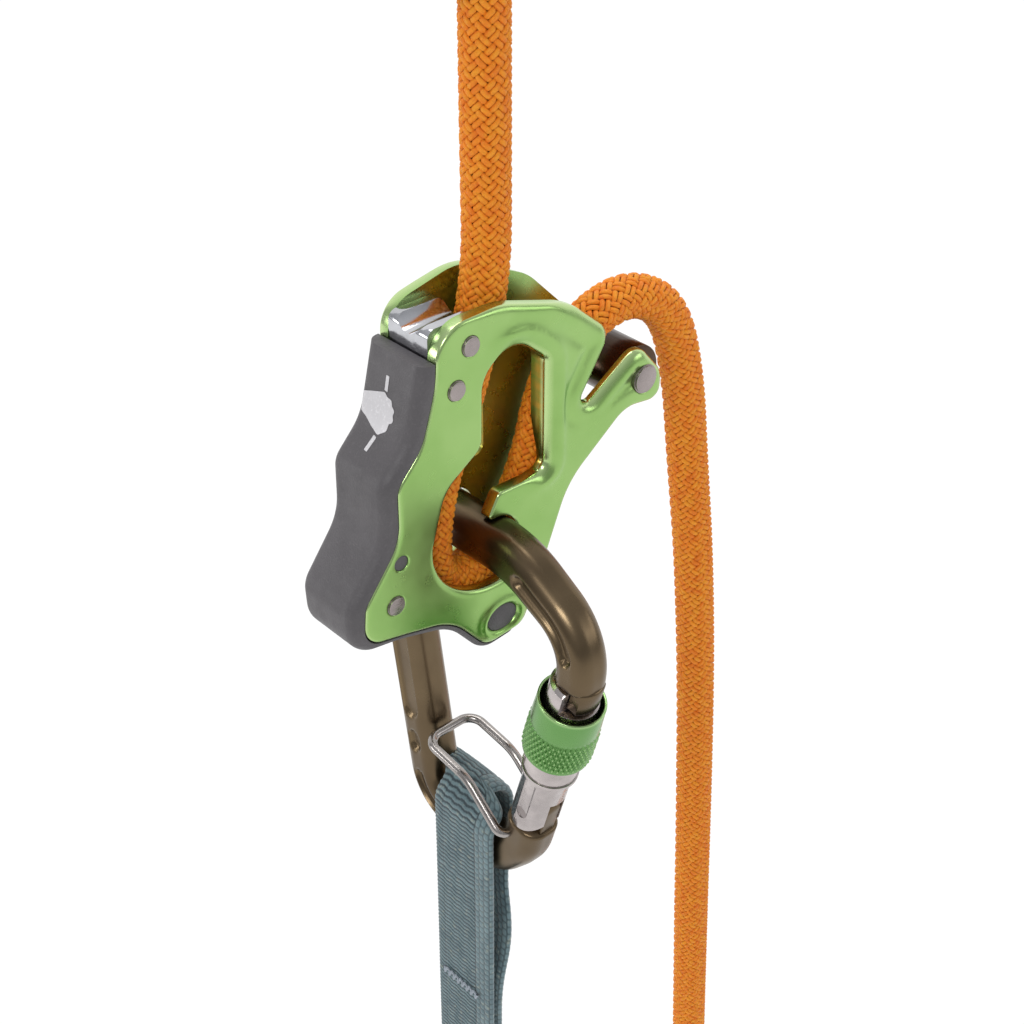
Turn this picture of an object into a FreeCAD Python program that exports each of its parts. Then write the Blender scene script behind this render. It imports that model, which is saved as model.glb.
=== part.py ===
"""Assisted-braking belay device, hung on its rope and rigged with its carabiner.

Two forged side plates hold a steel friction insert and a moulded grip between them. The rope comes
down from a sewn eye, goes round the bar of a screw-gate carabiner in the plates' window, and leaves
over the plates' arm. A sling hangs in the carabiner's basket, behind a wire keeper.

Device frame: X towards the arm, Y away from the front plate, Z up, Y = 0 midway between the plates.
Every sub-part is drawn in the device frame. Its Placement then moves it, so that the origin of the
whole part is the middle of the rope's sewn eye, where it hangs.
"""
import FreeCAD, Part
import math
import os

import Sketcher
from FreeCAD import Placement, Rotation, Vector

doc = FreeCAD.newDocument("belay_device")

# ---------------------------------------------------------------- driving dimensions, millimetres
DIMENSIONS = [
    ("eye_across", -12.4, "the rope eye's middle, in the device frame, along X"),
    ("eye_height", 164.0, "the rope eye's middle, in the device frame, along Z"),
    ("plate_thick", 2.8, "thickness of a side plate"),
    ("plate_gap", 11.4, "clear width between the side plates"),
    ("plate_edge", 0.8, "rounding of a side plate's outer edges"),
    ("rivet_radius", 2.05, "rivets through insert and grip"),
    ("rivet_head", 0.35, "height of a rivet's head above the plate"),
    ("arm_pin_radius", 3.2, "pin across the end of the arm"),
    ("arm_sleeve_radius", 6.4, "spacer sleeve round the arm pin"),
    ("peg_radius", 1.65, "locating peg of the grip, seen in the plate"),
    ("insert_width", 11.3, "width of the friction insert between the plates"),
    ("trough_radius", 3.9, "radius of the rope trough along the insert's top"),
    ("grip_width", 16.6, "full width of the moulded grip"),
    ("grip_edge", 2.6, "rounding of the grip's long edges"),
    ("rope_diameter", 10.2, "diameter of the rope"),
    ("bight_radius", 10.75, "radius of the rope's middle line round the carabiner's bar"),
    ("eye_radius", 11.5, "radius of the rope's middle line round the sewn eye"),
    ("cover_length", 24.0, "length of the stitched cover under the eye"),
    ("end_sleeve_length", 14.0, "length of the shrunk sleeve on the rope's lower end"),
    ("seat_across", -12.5, "the carabiner's plane, along X"),
    ("seat_height", 3.0, "middle of the carabiner's bar in its seat, along Z"),
    ("bar_deep", 10.4, "carabiner bar, across, in the carabiner's plane"),
    ("bar_thick", 9.6, "carabiner bar, thickness across its plane"),
    ("bar_corner", 3.9, "rounding of the carabiner bar's section"),
    ("gate_tilt", 15.6, "lean of the closed gate from upright, degrees"),
    ("gate_radius", 5.2, "radius of the gate's barrel"),
    ("gate_top_radius", 5.6, "radius of the gate's head, inside the sleeve"),
    ("gate_collar_radius", 5.85, "radius of the gate's collar"),
    ("gate_slot", 4.3, "width of the slot in the gate for the body's tongue"),
    ("tongue_thick", 4.1, "thickness of the body's hinge tongue"),
    ("gate_pin_radius", 1.5, "hinge pin of the gate"),
    ("sleeve_radius", 7.6, "screw sleeve, largest radius"),
    ("sleeve_bore", 6.6, "screw sleeve, bore radius"),
    ("sleeve_length", 17.1, "screw sleeve, length"),
    ("wire_diameter", 2.1, "keeper wire"),
    ("keeper_half_width", 6.8, "from the carabiner's plane to the middle of a keeper leg"),
    ("sling_width", 19.0, "width of the sling's webbing"),
    ("sling_thick", 2.2, "thickness of the sling's webbing"),
    ("sling_crest", -65.4, "top of the sling over the basket"),
    ("sling_middle", -2.0, "middle of the sling's width, along Y"),
]

sheet = doc.addObject("Spreadsheet::Sheet", "Dims")
for row, (alias, value, meaning) in enumerate(DIMENSIONS, start=1):
    sheet.set(f"A{row}", alias)
    sheet.set(f"B{row}", str(value))
    sheet.set(f"C{row}", meaning)
    sheet.setAlias(f"B{row}", alias)
doc.recompute()
D = {alias: value for alias, value, _ in DIMENSIONS}

# ---------------------------------------------------------------- outlines in the plates' plane
# Each corner is (x, z, rounding radius).
FRONT_TOP = [
    (-26.5, 55.0, 7.5),     # over the insert
    (-10.5, 54.9, 20.0),
    (7.4, 49.2, 22.0),
]
REAR_TOP = [
    (-26.5, 54.6, 7.0),
    (-8.8, 58.6, 14.0),
    (8.5, 50.2, 14.0),
]
PLATE_EDGE = [
    (19.4, 39.2, 4.5),      # peak of the horn over the rope
    (10.7, 26.0, 1.6),      # bottom of the V notch
    (13.6, 24.6, 1.6),
    (27.4, 33.2, 4.2),      # end of the arm
    (34.8, 24.4, 3.4),
    (32.6, 18.9, 3.4),
    (23.2, 20.2, 8.0),
    (7.4, 8.6, 18.0),       # edge below the arm
    (-1.0, -12.0, 30.0),
    (-5.2, -21.0, 4.0),     # lobe round the grip's end
    (-15.4, -21.8, 5.0),
    (-24.5, -11.0, 16.0),
    (-36.5, -8.2, 22.0),
    (-46.4, -6.2, 5.0),     # lower left lobe
    (-45.6, 2.6, 5.0),
    (-36.8, 14.0, 12.0),
    (-36.8, 25.6, 5.0),     # waist of the grip
    (-30.6, 32.2, 12.0),
    (-27.0, 44.0, 25.0),
]
# The left edge alone, from the lower left lobe up, is also the shoulder that the grip meets.
LEFT_EDGE = PLATE_EDGE[11:] + FRONT_TOP[:1]

FRONT_SLOT = [(-15.7, 44.6, 6.5), (-5.2, 44.7, 8.0), (1.2, 39.4, 3.0), (1.2, 13.9, 2.2)]
REAR_SLOT = [(-15.7, 44.6, 5.0), (-3.6, 44.6, 5.0), (-3.6, 14.0, 2.2)]
WINDOW_SEAT = [
    (-11.8, 14.2, 1.4),     # upper side of the nose
    (-14.9, 8.6, 1.0),      # tip of the nose
    (-6.9, 8.6, 5.6),       # seat of the carabiner's bar
    (-6.2, -7.2, 5.0),
    (-24.5, -7.2, 16.0),
    (-29.3, 7.0, 10.0),
    (-25.4, 20.4, 9.0),
    (-16.0, 26.6, 4.0),
]
INSERT_OUTLINE = [
    (-26.6, 54.0, 2.0),
    (-14.9, 54.0, 1.5),
    (-15.9, 46.0, 8.0),
    (-20.4, 36.4, 1.5),
    (-27.2, 36.4, 1.5),
    (-26.6, 45.0, 20.0),
]
GRIP_OUTLINE = [
    (-30.0, 48.4, 0),
    (-27.0, 48.4, 0),
    (-27.6, 36.0, 0),
    (-22.0, 36.0, 1.0),
    (-30.6, 17.0, 14.0),
    (-30.6, -3.0, 12.0),
    (-26.0, -11.0, 6.0),
    (-14.0, -12.9, 3.0),
    (-6.6, -12.9, 0),
    (-4.4, -22.6, 4.0),
    (-15.6, -23.6, 5.0),
    (-24.0, -13.6, 16.0),
    (-37.0, -10.0, 22.0),
    (-48.7, -8.2, 6.5),     # lower left lobe, in the palm
    (-49.2, 2.6, 6.0),
    (-40.2, 14.6, 12.0),
    (-40.0, 27.0, 5.0),     # waist, between two fingers
    (-33.4, 34.0, 12.0),
]
RIVET_PLACES = [(-18.6, 49.3), (-22.2, 41.3), (-38.5, 0.0)]
PEG_PLACE = (-36.7, 9.1)
BOSS_PLACE = (-11.0, -16.6)
BOSS_SIZE = (3.9, 3.0)
ARM_PIN_PLACE = (28.6, 25.0)
OUTER_FACE = D["plate_gap"] / 2 + D["plate_thick"]

# ---------------------------------------------------------------- the rope's route, device frame
# (x, z) points of the middle line, all in the plane Y = 0.
LOAD_ROUTE = [(-7.2, 140.0), (-7.2, 57.5), (-12.6, 37.5), (-23.25, 12.5), (-23.25, -7.75)]
BRAKE_ROUTE = [
    (-6.6, -7.75), (5.0, 10.8), (8.6, 27.0), (17.8, 38.6), (31.4, 41.2), (43.8, 33.4),
    (49.8, 14.6), (53.0, -8.0), (57.8, -38.0), (61.8, -76.0), (65.0, -122.0), (68.2, -176.0),
    (72.2, -236.0),
]

# ---------------------------------------------------------------- the carabiner's plane
# Corners of the body's middle line (y, z, radius), from above the nose round to the hinge.
BODY_ROUTE = [
    (-33.4, -18.4, 0), (-34.4, -7.2, 13.0), (-15.5, 3.0, 26.0), (25.6, 3.0, 15.0),
    (12.6, -76.4, 9.5), (-9.0, -81.4, 9.5), (-19.3, -65.9, 0),
]
RIM = (-31.1, -23.6)        # middle of the sleeve's upper rim, on the gate's axis
PIVOT_DROP = 35.7           # from there down the axis to the gate's pin
GATE_TOP = 5.6              # the gate's head stands this far above the rim
KEEPER_HOLE = (-16.8, -67.6)
KEEPER_KNEE = (-5.6, -58.0)
KEEPER_BRIDGE = (8.2, -56.0)


# ================================================================ helpers
def on(plane, a, b, across=0.0):
    """A point of the plates' plane "XZ" or the carabiner's plane "YZ", that far across it."""
    return Vector(a, across, b) if plane == "XZ" else Vector(D["seat_across"] + across, a, b)


def rounded(points, closed=True):
    """Line and arc segments of a path of (a, b, radius) corners: ("line", p, q) or
    ("arc", p, middle, q), as plain vectors in a flat plane."""
    count = len(points)
    ends = []
    for i, (a, b, radius) in enumerate(points):
        here = Vector(a, b, 0)
        if radius == 0 or (not closed and i in (0, count - 1)):
            ends.append((here, None, here))
            continue
        before = Vector(*points[i - 1][:2], 0) - here
        after = Vector(*points[(i + 1) % count][:2], 0) - here
        before.normalize()
        after.normalize()
        half = before.getAngle(after) / 2
        reach = radius / math.tan(half)
        bisector = (before + after).normalize()
        middle = here + bisector * (radius / math.sin(half) - radius)
        ends.append((here + before * reach, middle, here + after * reach))
    pieces = []
    for i, (start, middle, end) in enumerate(ends):
        if middle is not None:
            pieces.append(("arc", start, middle, end))
        if closed or i < count - 1:
            pieces.append(("line", end, ends[(i + 1) % count][0]))
    return pieces


def draw(sketch, pieces):
    """Puts line and arc pieces in a sketch and joins their ends."""
    for piece in pieces:
        if piece[0] == "line":
            sketch.addGeometry(Part.LineSegment(piece[1], piece[2]), False)
        else:
            sketch.addGeometry(Part.Arc(*piece[1:]), False)


def new_body(label):
    body = doc.addObject("PartDesign::Body", label + "_body")
    body.Label = label
    return body


def new_sketch(body, name, plane, across=0.0):
    """A sketch on the body's own origin plane, moved that far across it. On both planes the
    sketch's two axes are the row's own: X and Z, or Y and Z."""
    sketch = body.newObject("Sketcher::SketchObject", body.Label + "_" + name)
    role = plane + "_Plane"
    base = next(o for o in body.Origin.OriginFeatures if o.Role == role)
    sketch.AttachmentSupport = [(base, "")]
    sketch.MapMode = "FlatFace"
    offset = -across if plane == "XZ" else across
    sketch.AttachmentOffset = Placement(Vector(0, 0, offset), Rotation())
    return sketch


def bind(feature, prop, expression):
    feature.setExpression(prop, expression)


def pad(body, sketch, name, length):
    """A pad of that length (an expression), half each side of its sketch."""
    feature = body.newObject("PartDesign::Pad", body.Label + "_" + name)
    feature.Profile = sketch
    feature.SideType = "Symmetric"
    bind(feature, "Length", length)
    sketch.Visibility = False
    return feature


def pocket(body, sketch, name, length):
    """A pocket of that length, half each side of its sketch; it has to remove material."""
    doc.recompute()
    before = body.Shape.Volume
    feature = body.newObject("PartDesign::Pocket", body.Label + "_" + name)
    feature.Profile = sketch
    feature.SideType = "Symmetric"
    bind(feature, "Length", length)
    doc.recompute()
    assert body.Shape.Volume < before - 0.01, f"{feature.Name} cuts nothing"
    return feature


def fillet(body, feature, radius, wanted):
    """Rounds the edges of the feature that wanted(edge) picks."""
    doc.recompute()
    names = [f"Edge{i}" for i, e in enumerate(feature.Shape.Edges, start=1) if wanted(e)]
    rounding = body.newObject("PartDesign::Fillet", body.Label + "_round")
    rounding.Base = (feature, names)
    bind(rounding, "Radius", radius)
    return rounding


def place(obj):
    """Moves a sub-part from the device frame to the row's frame, at the rope's eye."""
    obj.setExpression(".Placement.Base.x", "-Dims.eye_across")
    obj.setExpression(".Placement.Base.z", "-Dims.eye_height")
    return obj


def feature_of(label, shape):
    """A sub-part that is a swept or turned shape of its own."""
    obj = doc.addObject("Part::Feature", label)
    obj.Label = label
    obj.Shape = shape
    obj.Placement = Placement(Vector(-D["eye_across"], 0, -D["eye_height"]), Rotation())
    return obj


def cylinder(name, radius, height, at, axis):
    """A cylinder with bound sizes, centred on a point of the device frame."""
    obj = doc.addObject("Part::Cylinder", name)
    bind(obj, "Radius", radius)
    bind(obj, "Height", height)
    doc.recompute()
    turn = Rotation(Vector(0, 0, 1), axis)
    obj.Placement = Placement(at - axis * (obj.Height.Value / 2), turn)
    return obj


def gate_point(along, outward=0.0, across=0.0):
    """A point from the sleeve's rim: up the gate's axis, outwards from the carabiner, and across."""
    tilt = math.radians(D["gate_tilt"])
    up = (-math.sin(tilt), math.cos(tilt))
    out = (-math.cos(tilt), -math.sin(tilt))
    return Vector(D["seat_across"] + across, RIM[0] + up[0] * along + out[0] * outward,
                  RIM[1] + up[1] * along + out[1] * outward)


GATE_UP = (gate_point(1) - gate_point(0)).normalize()
GATE_OUT = (gate_point(0, 1) - gate_point(0)).normalize()


def turned(profile):
    """A solid of revolution about the gate's axis: (radius, along) points, closed on the axis."""
    points = [gate_point(along, radius) for radius, along in profile]
    face = Part.Face(Part.makePolygon(points + points[:1]))
    return face.revolve(gate_point(0), GATE_UP, 360)


def block(along, outward, across):
    """A box in the gate's own directions, each given as (from, to)."""
    corner = gate_point(along[0], outward[0], across[0])
    corners = [corner, gate_point(along[1], outward[0], across[0]),
               gate_point(along[1], outward[1], across[0]),
               gate_point(along[0], outward[1], across[0])]
    face = Part.Face(Part.makePolygon(corners + corners[:1]))
    return face.extrude(Vector(across[1] - across[0], 0, 0))


def route_wire(points):
    """Straight runs joined by tangent arcs through 3-D points with radii."""
    edges = []
    last = points[0][0]
    for i in range(1, len(points)):
        here, radius = points[i]
        if i == len(points) - 1:
            edges.append(Part.LineSegment(last, here).toShape())
            break
        back = (points[i - 1][0] - here).normalize()
        ahead = (points[i + 1][0] - here).normalize()
        half = back.getAngle(ahead) / 2
        start = here + back * (radius / math.tan(half))
        end = here + ahead * (radius / math.tan(half))
        middle = here + (back + ahead).normalize() * (radius / math.sin(half) - radius)
        if (start - last).Length > 1e-6:
            edges.append(Part.LineSegment(last, start).toShape())
        edges.append(Part.Arc(start, middle, end).toShape())
        last = end
    return Part.Wire(edges)


def tube(wire, radius):
    """A round tube along a wire; its volume has to be section times length."""
    start = wire.Edges[0].firstVertex().Point
    direction = wire.Edges[0].tangentAt(wire.Edges[0].FirstParameter)
    section = Part.Wire(Part.makeCircle(radius, start, direction))
    shell = Part.BRepOffsetAPI.MakePipeShell(wire)
    shell.add(section)
    shell.build()
    shell.makeSolid()
    solid = shell.shape()
    expected = math.pi * radius**2 * wire.Length
    assert abs(solid.Volume - expected) < 0.01 * expected, (solid.Volume, expected)
    return solid


def cord_radius(before, here, after):
    """The radius of a cord's arc: 0.45 of the shorter run, over the tangent of half the turn."""
    turn = math.pi - (before - here).getAngle(after - here)
    return 0.45 * min((before - here).Length, (after - here).Length) / math.tan(turn / 2)


# ================================================================ side plates
def side_plate(label, side, top, slot):
    """One forged plate: outline, window, rivet holes and the hole for the grip's boss."""
    body = new_body(label)
    sketch = new_sketch(body, "outline", "XZ", side * (D["plate_gap"] + D["plate_thick"]) / 2)
    draw(sketch, rounded(top + PLATE_EDGE))
    draw(sketch, rounded(slot + WINDOW_SEAT))
    holes = [(x, z, D["rivet_radius"]) for x, z in RIVET_PLACES]
    holes += [(*PEG_PLACE, D["peg_radius"]), (*ARM_PIN_PLACE, D["arm_pin_radius"])]
    for x, z, radius in holes:
        circle = sketch.addGeometry(Part.Circle(Vector(x, z, 0), Vector(0, 0, 1), radius), False)
        sketch.addConstraint(Sketcher.Constraint("Radius", circle, radius))
    sketch.addGeometry(Part.Ellipse(Vector(*BOSS_PLACE, 0), *BOSS_SIZE), False)
    plate = pad(body, sketch, "forging", "Dims.plate_thick")
    face = side * OUTER_FACE

    def on_outer_rim(edge):
        box = edge.BoundBox
        flat = abs(box.YMin - face) < 0.01 and abs(box.YMax - face) < 0.01
        return flat and max(box.XLength, box.ZLength) > 0.01 and not edge.isClosed()

    fillet(body, plate, "Dims.plate_edge", on_outer_rim)
    return place(body)


side_plate("front_side_plate", -1, FRONT_TOP, FRONT_SLOT)
side_plate("rear_side_plate", 1, REAR_TOP, REAR_SLOT)


# ================================================================ friction insert
def friction_insert():
    """Polished steel block between the plates, with the rope's trough along its top."""
    body = new_body("friction_insert")
    sketch = new_sketch(body, "outline", "XZ")
    draw(sketch, rounded(INSERT_OUTLINE))
    for x, z in RIVET_PLACES[:2]:
        sketch.addGeometry(Part.Circle(Vector(x, z, 0), Vector(0, 0, 1), D["rivet_radius"]), False)
    pad(body, sketch, "block", "Dims.insert_width")
    trough = new_sketch(body, "trough", "YZ", -22.0)
    radius = D["trough_radius"]
    middle = 54.0 + radius - 2.4
    trough.addGeometry(Part.Circle(Vector(0, middle, 0), Vector(0, 0, 1), radius), False)
    pocket(body, trough, "channel", "40 mm")
    return place(body)


friction_insert()


# ================================================================ moulded grip
def handle_grip():
    """Moulded grip: full width outside the plates' left edge, a core between the plates."""
    body = new_body("handle_grip")
    sketch = new_sketch(body, "outline", "XZ")
    draw(sketch, rounded(GRIP_OUTLINE))
    x, z = RIVET_PLACES[2]
    sketch.addGeometry(Part.Circle(Vector(x, z, 0), Vector(0, 0, 1), D["rivet_radius"]), False)
    block_feature = pad(body, sketch, "block", "Dims.grip_width")

    def long_left_edge(edge):
        box = edge.BoundBox
        flat = abs(abs(box.YMin) - D["grip_width"] / 2) < 0.01 and box.YLength < 0.01
        return flat and box.XMax < -29.5 and box.ZMin > -14.0 and box.XMin < -33.0

    fillet(body, block_feature, "Dims.grip_edge", long_left_edge)
    doc.recompute()
    # Seats for the plates: everything inside the plates' left edge is only as wide as the gap.
    far = 40.0
    shoulder = [(a - 0.15, b - 0.15 if i < 3 else b, r) for i, (a, b, r) in enumerate(LEFT_EDGE)]
    seat_outline = [(far, -21.95, 0), (-15.5, -21.95, 5.1)] + shoulder + [(far, 60.0, 0)]
    seat_width = D["grip_width"] / 2 - D["plate_gap"] / 2 + 1.0
    for side, name in ((-1, "front_seat"), (1, "rear_seat")):
        middle = D["plate_gap"] / 2 - 0.05 + seat_width / 2
        seat = new_sketch(body, name, "XZ", side * middle)
        draw(seat, rounded(seat_outline))
        pocket(body, seat, name + "_cut", f"{seat_width} mm")
    pegs = new_sketch(body, "pegs", "XZ")
    x, z = PEG_PLACE
    pegs.addGeometry(Part.Circle(Vector(x, z, 0), Vector(0, 0, 1), D["peg_radius"] - 0.05), False)
    half_long, half_high = (size - 0.05 for size in BOSS_SIZE)
    pegs.addGeometry(Part.Ellipse(Vector(*BOSS_PLACE, 0), half_long, half_high), False)
    pad(body, pegs, "pegs_pad", "Dims.plate_gap + 2 * Dims.plate_thick - 0.6")
    return place(body)


handle_grip()


# ================================================================ rivets, arm pin and its spacer
def riveted(label, places, radius, head_radius):
    """Rivets through both plates, with low domed heads, as one group of separate solids."""
    rivets = []
    for i, (x, z) in enumerate(places):
        length = "Dims.plate_gap + 2 * Dims.plate_thick"
        name = f"{label}_{i + 1}"
        shank = cylinder(name + "_shank", radius, length, Vector(x, 0, z), Vector(0, 1, 0))
        height = "Dims.plate_gap + 2 * Dims.plate_thick + 2 * Dims.rivet_head"
        heads = cylinder(name + "_heads", head_radius, height, Vector(x, 0, z), Vector(0, 1, 0))
        fused = doc.addObject("Part::MultiFuse", name)
        fused.Shapes = [shank, heads]
        fused.Refine = True
        rivets.append(fused)
    group = doc.addObject("Part::Compound", label)
    group.Links = rivets
    group.Label = label
    return place(group)


riveted("frame_rivets", RIVET_PLACES, "Dims.rivet_radius", "Dims.rivet_radius - 0.15")
riveted("arm_pin", [ARM_PIN_PLACE], "Dims.arm_pin_radius", "Dims.arm_pin_radius - 0.25")


def arm_spacer():
    """Sleeve between the plates' arms, which the rope runs over."""
    at = Vector(ARM_PIN_PLACE[0], 0, ARM_PIN_PLACE[1])
    width = "Dims.plate_gap - 0.1"
    outer = cylinder("arm_spacer_outer", "Dims.arm_sleeve_radius", width, at, Vector(0, 1, 0))
    bore = cylinder("arm_spacer_bore", "Dims.arm_pin_radius", "30", at, Vector(0, 1, 0))
    sleeve = doc.addObject("Part::Cut", "arm_spacer")
    sleeve.Base = outer
    sleeve.Tool = bore
    sleeve.Label = "arm_spacer"
    return place(sleeve)


arm_spacer()


# ================================================================ rope
def rope():
    """The load strand, the bight round the carabiner's bar, and the brake strand."""
    radius = D["rope_diameter"] / 2
    load = [on("XZ", *p) for p in LOAD_ROUTE]
    brake = [on("XZ", *p) for p in BRAKE_ROUTE]
    low = on("XZ", D["seat_across"], LOAD_ROUTE[-1][1])
    whole = load + brake
    radii = [0.0]
    for i in range(1, len(whole) - 1):
        natural = cord_radius(*whole[i - 1:i + 2])
        around_bar = whole[i] in (load[-1], brake[0])
        radii.append(D["bight_radius"] if around_bar else natural)
    radii.append(0.0)
    print("rope radii", [round(r, 1) for r in radii])
    # The strand splits into its three stretches on straight runs, and at the bight's lowest point.
    top_split = load[3] + (load[2] - load[3]) * 0.5
    end_split = brake[1] + (brake[0] - brake[1]) * 0.5
    stretches = {
        "rope_load_strand": list(zip(load[:3], radii[:3])) + [(top_split, 0)],
        "rope_bight": [(top_split, 0)] + list(zip(whole[3:6], radii[3:6])) + [(end_split, 0)],
        "rope_brake_strand": [(end_split, 0)] + list(zip(brake[1:], radii[6:])),
    }
    assert abs(low.z + D["bight_radius"] - D["seat_height"]) < 0.3
    for label, points in stretches.items():
        wire = route_wire(points)
        print(label, "length", round(wire.Length, 1))
        feature_of(label, tube(wire, radius))


rope()


def rope_eye():
    """Sewn eye: the rope's tail comes round and lies beside the strand inside a cover."""
    radius = D["rope_diameter"] / 2
    strand_x, foot = LOAD_ROUTE[0]
    middle = on("XZ", D["eye_across"], D["eye_height"])
    half = strand_x - D["eye_across"]
    ends = [on("XZ", D["eye_across"] + s * half, foot) for s in (1, -1)]
    # Tangent points of the two legs on the eye's circle.
    legs = []
    for end in ends:
        to_end = end - middle
        turn = math.acos(D["eye_radius"] / to_end.Length)
        sign = 1 if to_end.x > 0 else -1
        spoke = Rotation(Vector(0, 1, 0), -sign * math.degrees(turn)).multVec(to_end)
        legs.append(middle + spoke.normalize() * D["eye_radius"])
    top = middle + Vector(0, 0, D["eye_radius"])
    wire = Part.Wire([
        Part.LineSegment(ends[0], legs[0]).toShape(),
        Part.Arc(legs[0], top, legs[1]).toShape(),
        Part.LineSegment(legs[1], ends[1]).toShape(),
    ])
    below = Part.makeBox(60.0, 20.0, 10.0, Vector(D["eye_across"] - 30.0, -10.0, foot - 10.0))
    feature_of("rope_eye", tube(wire, radius).cut(below))
    # The cover is a flat-sided sleeve round the two strands, below the eye.
    low = foot - D["cover_length"]
    outer = Part.makeBox(2 * half, 2 * radius + 2.4, D["cover_length"],
                         Vector(D["eye_across"] - half, -radius - 1.2, low))
    inner_tail = Part.makeCylinder(radius, D["cover_length"] - 4.0,
                                   Vector(D["eye_across"] - half, 0, low + 4.0))
    shape = outer
    for x in (D["eye_across"] - half, D["eye_across"] + half):
        shape = shape.fuse(Part.makeCylinder(radius + 1.2, D["cover_length"], Vector(x, 0, low)))
    strand = Part.makeCylinder(radius, D["cover_length"] + 2,
                               Vector(strand_x, 0, low - 1))
    feature_of("rope_eye_cover", shape.cut(strand).cut(inner_tail).removeSplitter())
    feature_of("rope_eye_tail", inner_tail)


rope_eye()


def rope_end_sleeve():
    """Shrunk sleeve over the rope's sealed lower end."""
    end = on("XZ", *BRAKE_ROUTE[-1])
    before = on("XZ", *BRAKE_ROUTE[-2])
    along = (end - before).normalize()
    radius = D["rope_diameter"] / 2
    start = end - along * D["end_sleeve_length"]
    cap = Part.makeCylinder(radius + 0.7, D["end_sleeve_length"] + 1.6, start, along)
    hole = Part.makeCylinder(radius, D["end_sleeve_length"], start, along)
    feature_of("rope_end_sleeve", cap.cut(hole))


rope_end_sleeve()


# ================================================================ carabiner
def carabiner_body():
    """Forged body: a rounded bar along its route, the nose claw and the hinge tongue."""
    points = [(on("YZ", y, z), r) for y, z, r in BODY_ROUTE]
    wire = route_wire(points)
    start = points[0][0]
    along = (points[1][0] - start).normalize()
    side = along.cross(Vector(1, 0, 0)).normalize()
    half_deep, half_thick = D["bar_deep"] / 2, D["bar_thick"] / 2
    flat = rounded([(half_deep, half_thick, D["bar_corner"]), (-half_deep, half_thick, D["bar_corner"]),
                    (-half_deep, -half_thick, D["bar_corner"]), (half_deep, -half_thick, D["bar_corner"])])

    def lifted(p):
        return start + side * p.x + Vector(1, 0, 0) * p.y

    edges = []
    for piece in flat:
        if piece[0] == "arc":
            edges.append(Part.Arc(*[lifted(p) for p in piece[1:]]).toShape())
        elif (piece[1] - piece[2]).Length > 1e-6:
            edges.append(Part.LineSegment(lifted(piece[1]), lifted(piece[2])).toShape())
    shell = Part.BRepOffsetAPI.MakePipeShell(wire)
    shell.add(Part.Wire(edges))
    shell.setBiNormalMode(Vector(1, 0, 0))
    shell.build()
    shell.makeSolid()
    bar = shell.shape()
    # The nose: the bar ends above the gate's head, and a claw goes down outside it.
    nose = turned([(0, -9.0), (6.2, -9.0), (6.2, 3.6), (16.0, 16.0), (16.0, 40.0), (0, 40.0)])
    claw = block((0.85, 7.0), (1.6, 6.1), (-3.9, 3.9)).common(nose)
    head = block((-8.0, GATE_TOP + 0.3), (-12.0, 12.0), (-9.0, 9.0))
    tip_zone = block((-9.0, 16.0), (-14.0, 16.0), (-9.0, 9.0))
    bar = bar.cut(head).cut(tip_zone.cut(nose)).fuse(claw)
    # The hinge: the bar ends below the gate, and a tongue stands in the gate's slot.
    foot = -PIVOT_DROP - D["gate_radius"] - 0.5
    bar = bar.cut(block((foot, -20.0), (-12.0, 12.0), (-9.0, 9.0)))
    half_tongue = D["tongue_thick"] / 2
    tongue = block((foot - 4.0, -PIVOT_DROP), (-4.6, 4.6), (-half_tongue, half_tongue))
    eye = Part.makeCylinder(4.6, D["tongue_thick"], gate_point(-PIVOT_DROP, 0, -half_tongue),
                            Vector(1, 0, 0))
    bore = Part.makeCylinder(D["gate_pin_radius"] + 0.05, 20.0,
                             gate_point(-PIVOT_DROP, 0, -10.0), Vector(1, 0, 0))
    keeper_bore = Part.makeCylinder(D["wire_diameter"] / 2 + 0.08, 20.0,
                                    on("YZ", *KEEPER_HOLE, -10.0), Vector(1, 0, 0))
    spring_bore = Part.makeCylinder(1.7, 6.0, gate_point(foot - 4.0, -2.2), GATE_UP)
    body = bar.fuse(tongue).fuse(eye).cut(bore).cut(keeper_bore).cut(spring_bore)
    feature_of("carabiner_body", body.removeSplitter())


carabiner_body()


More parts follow.
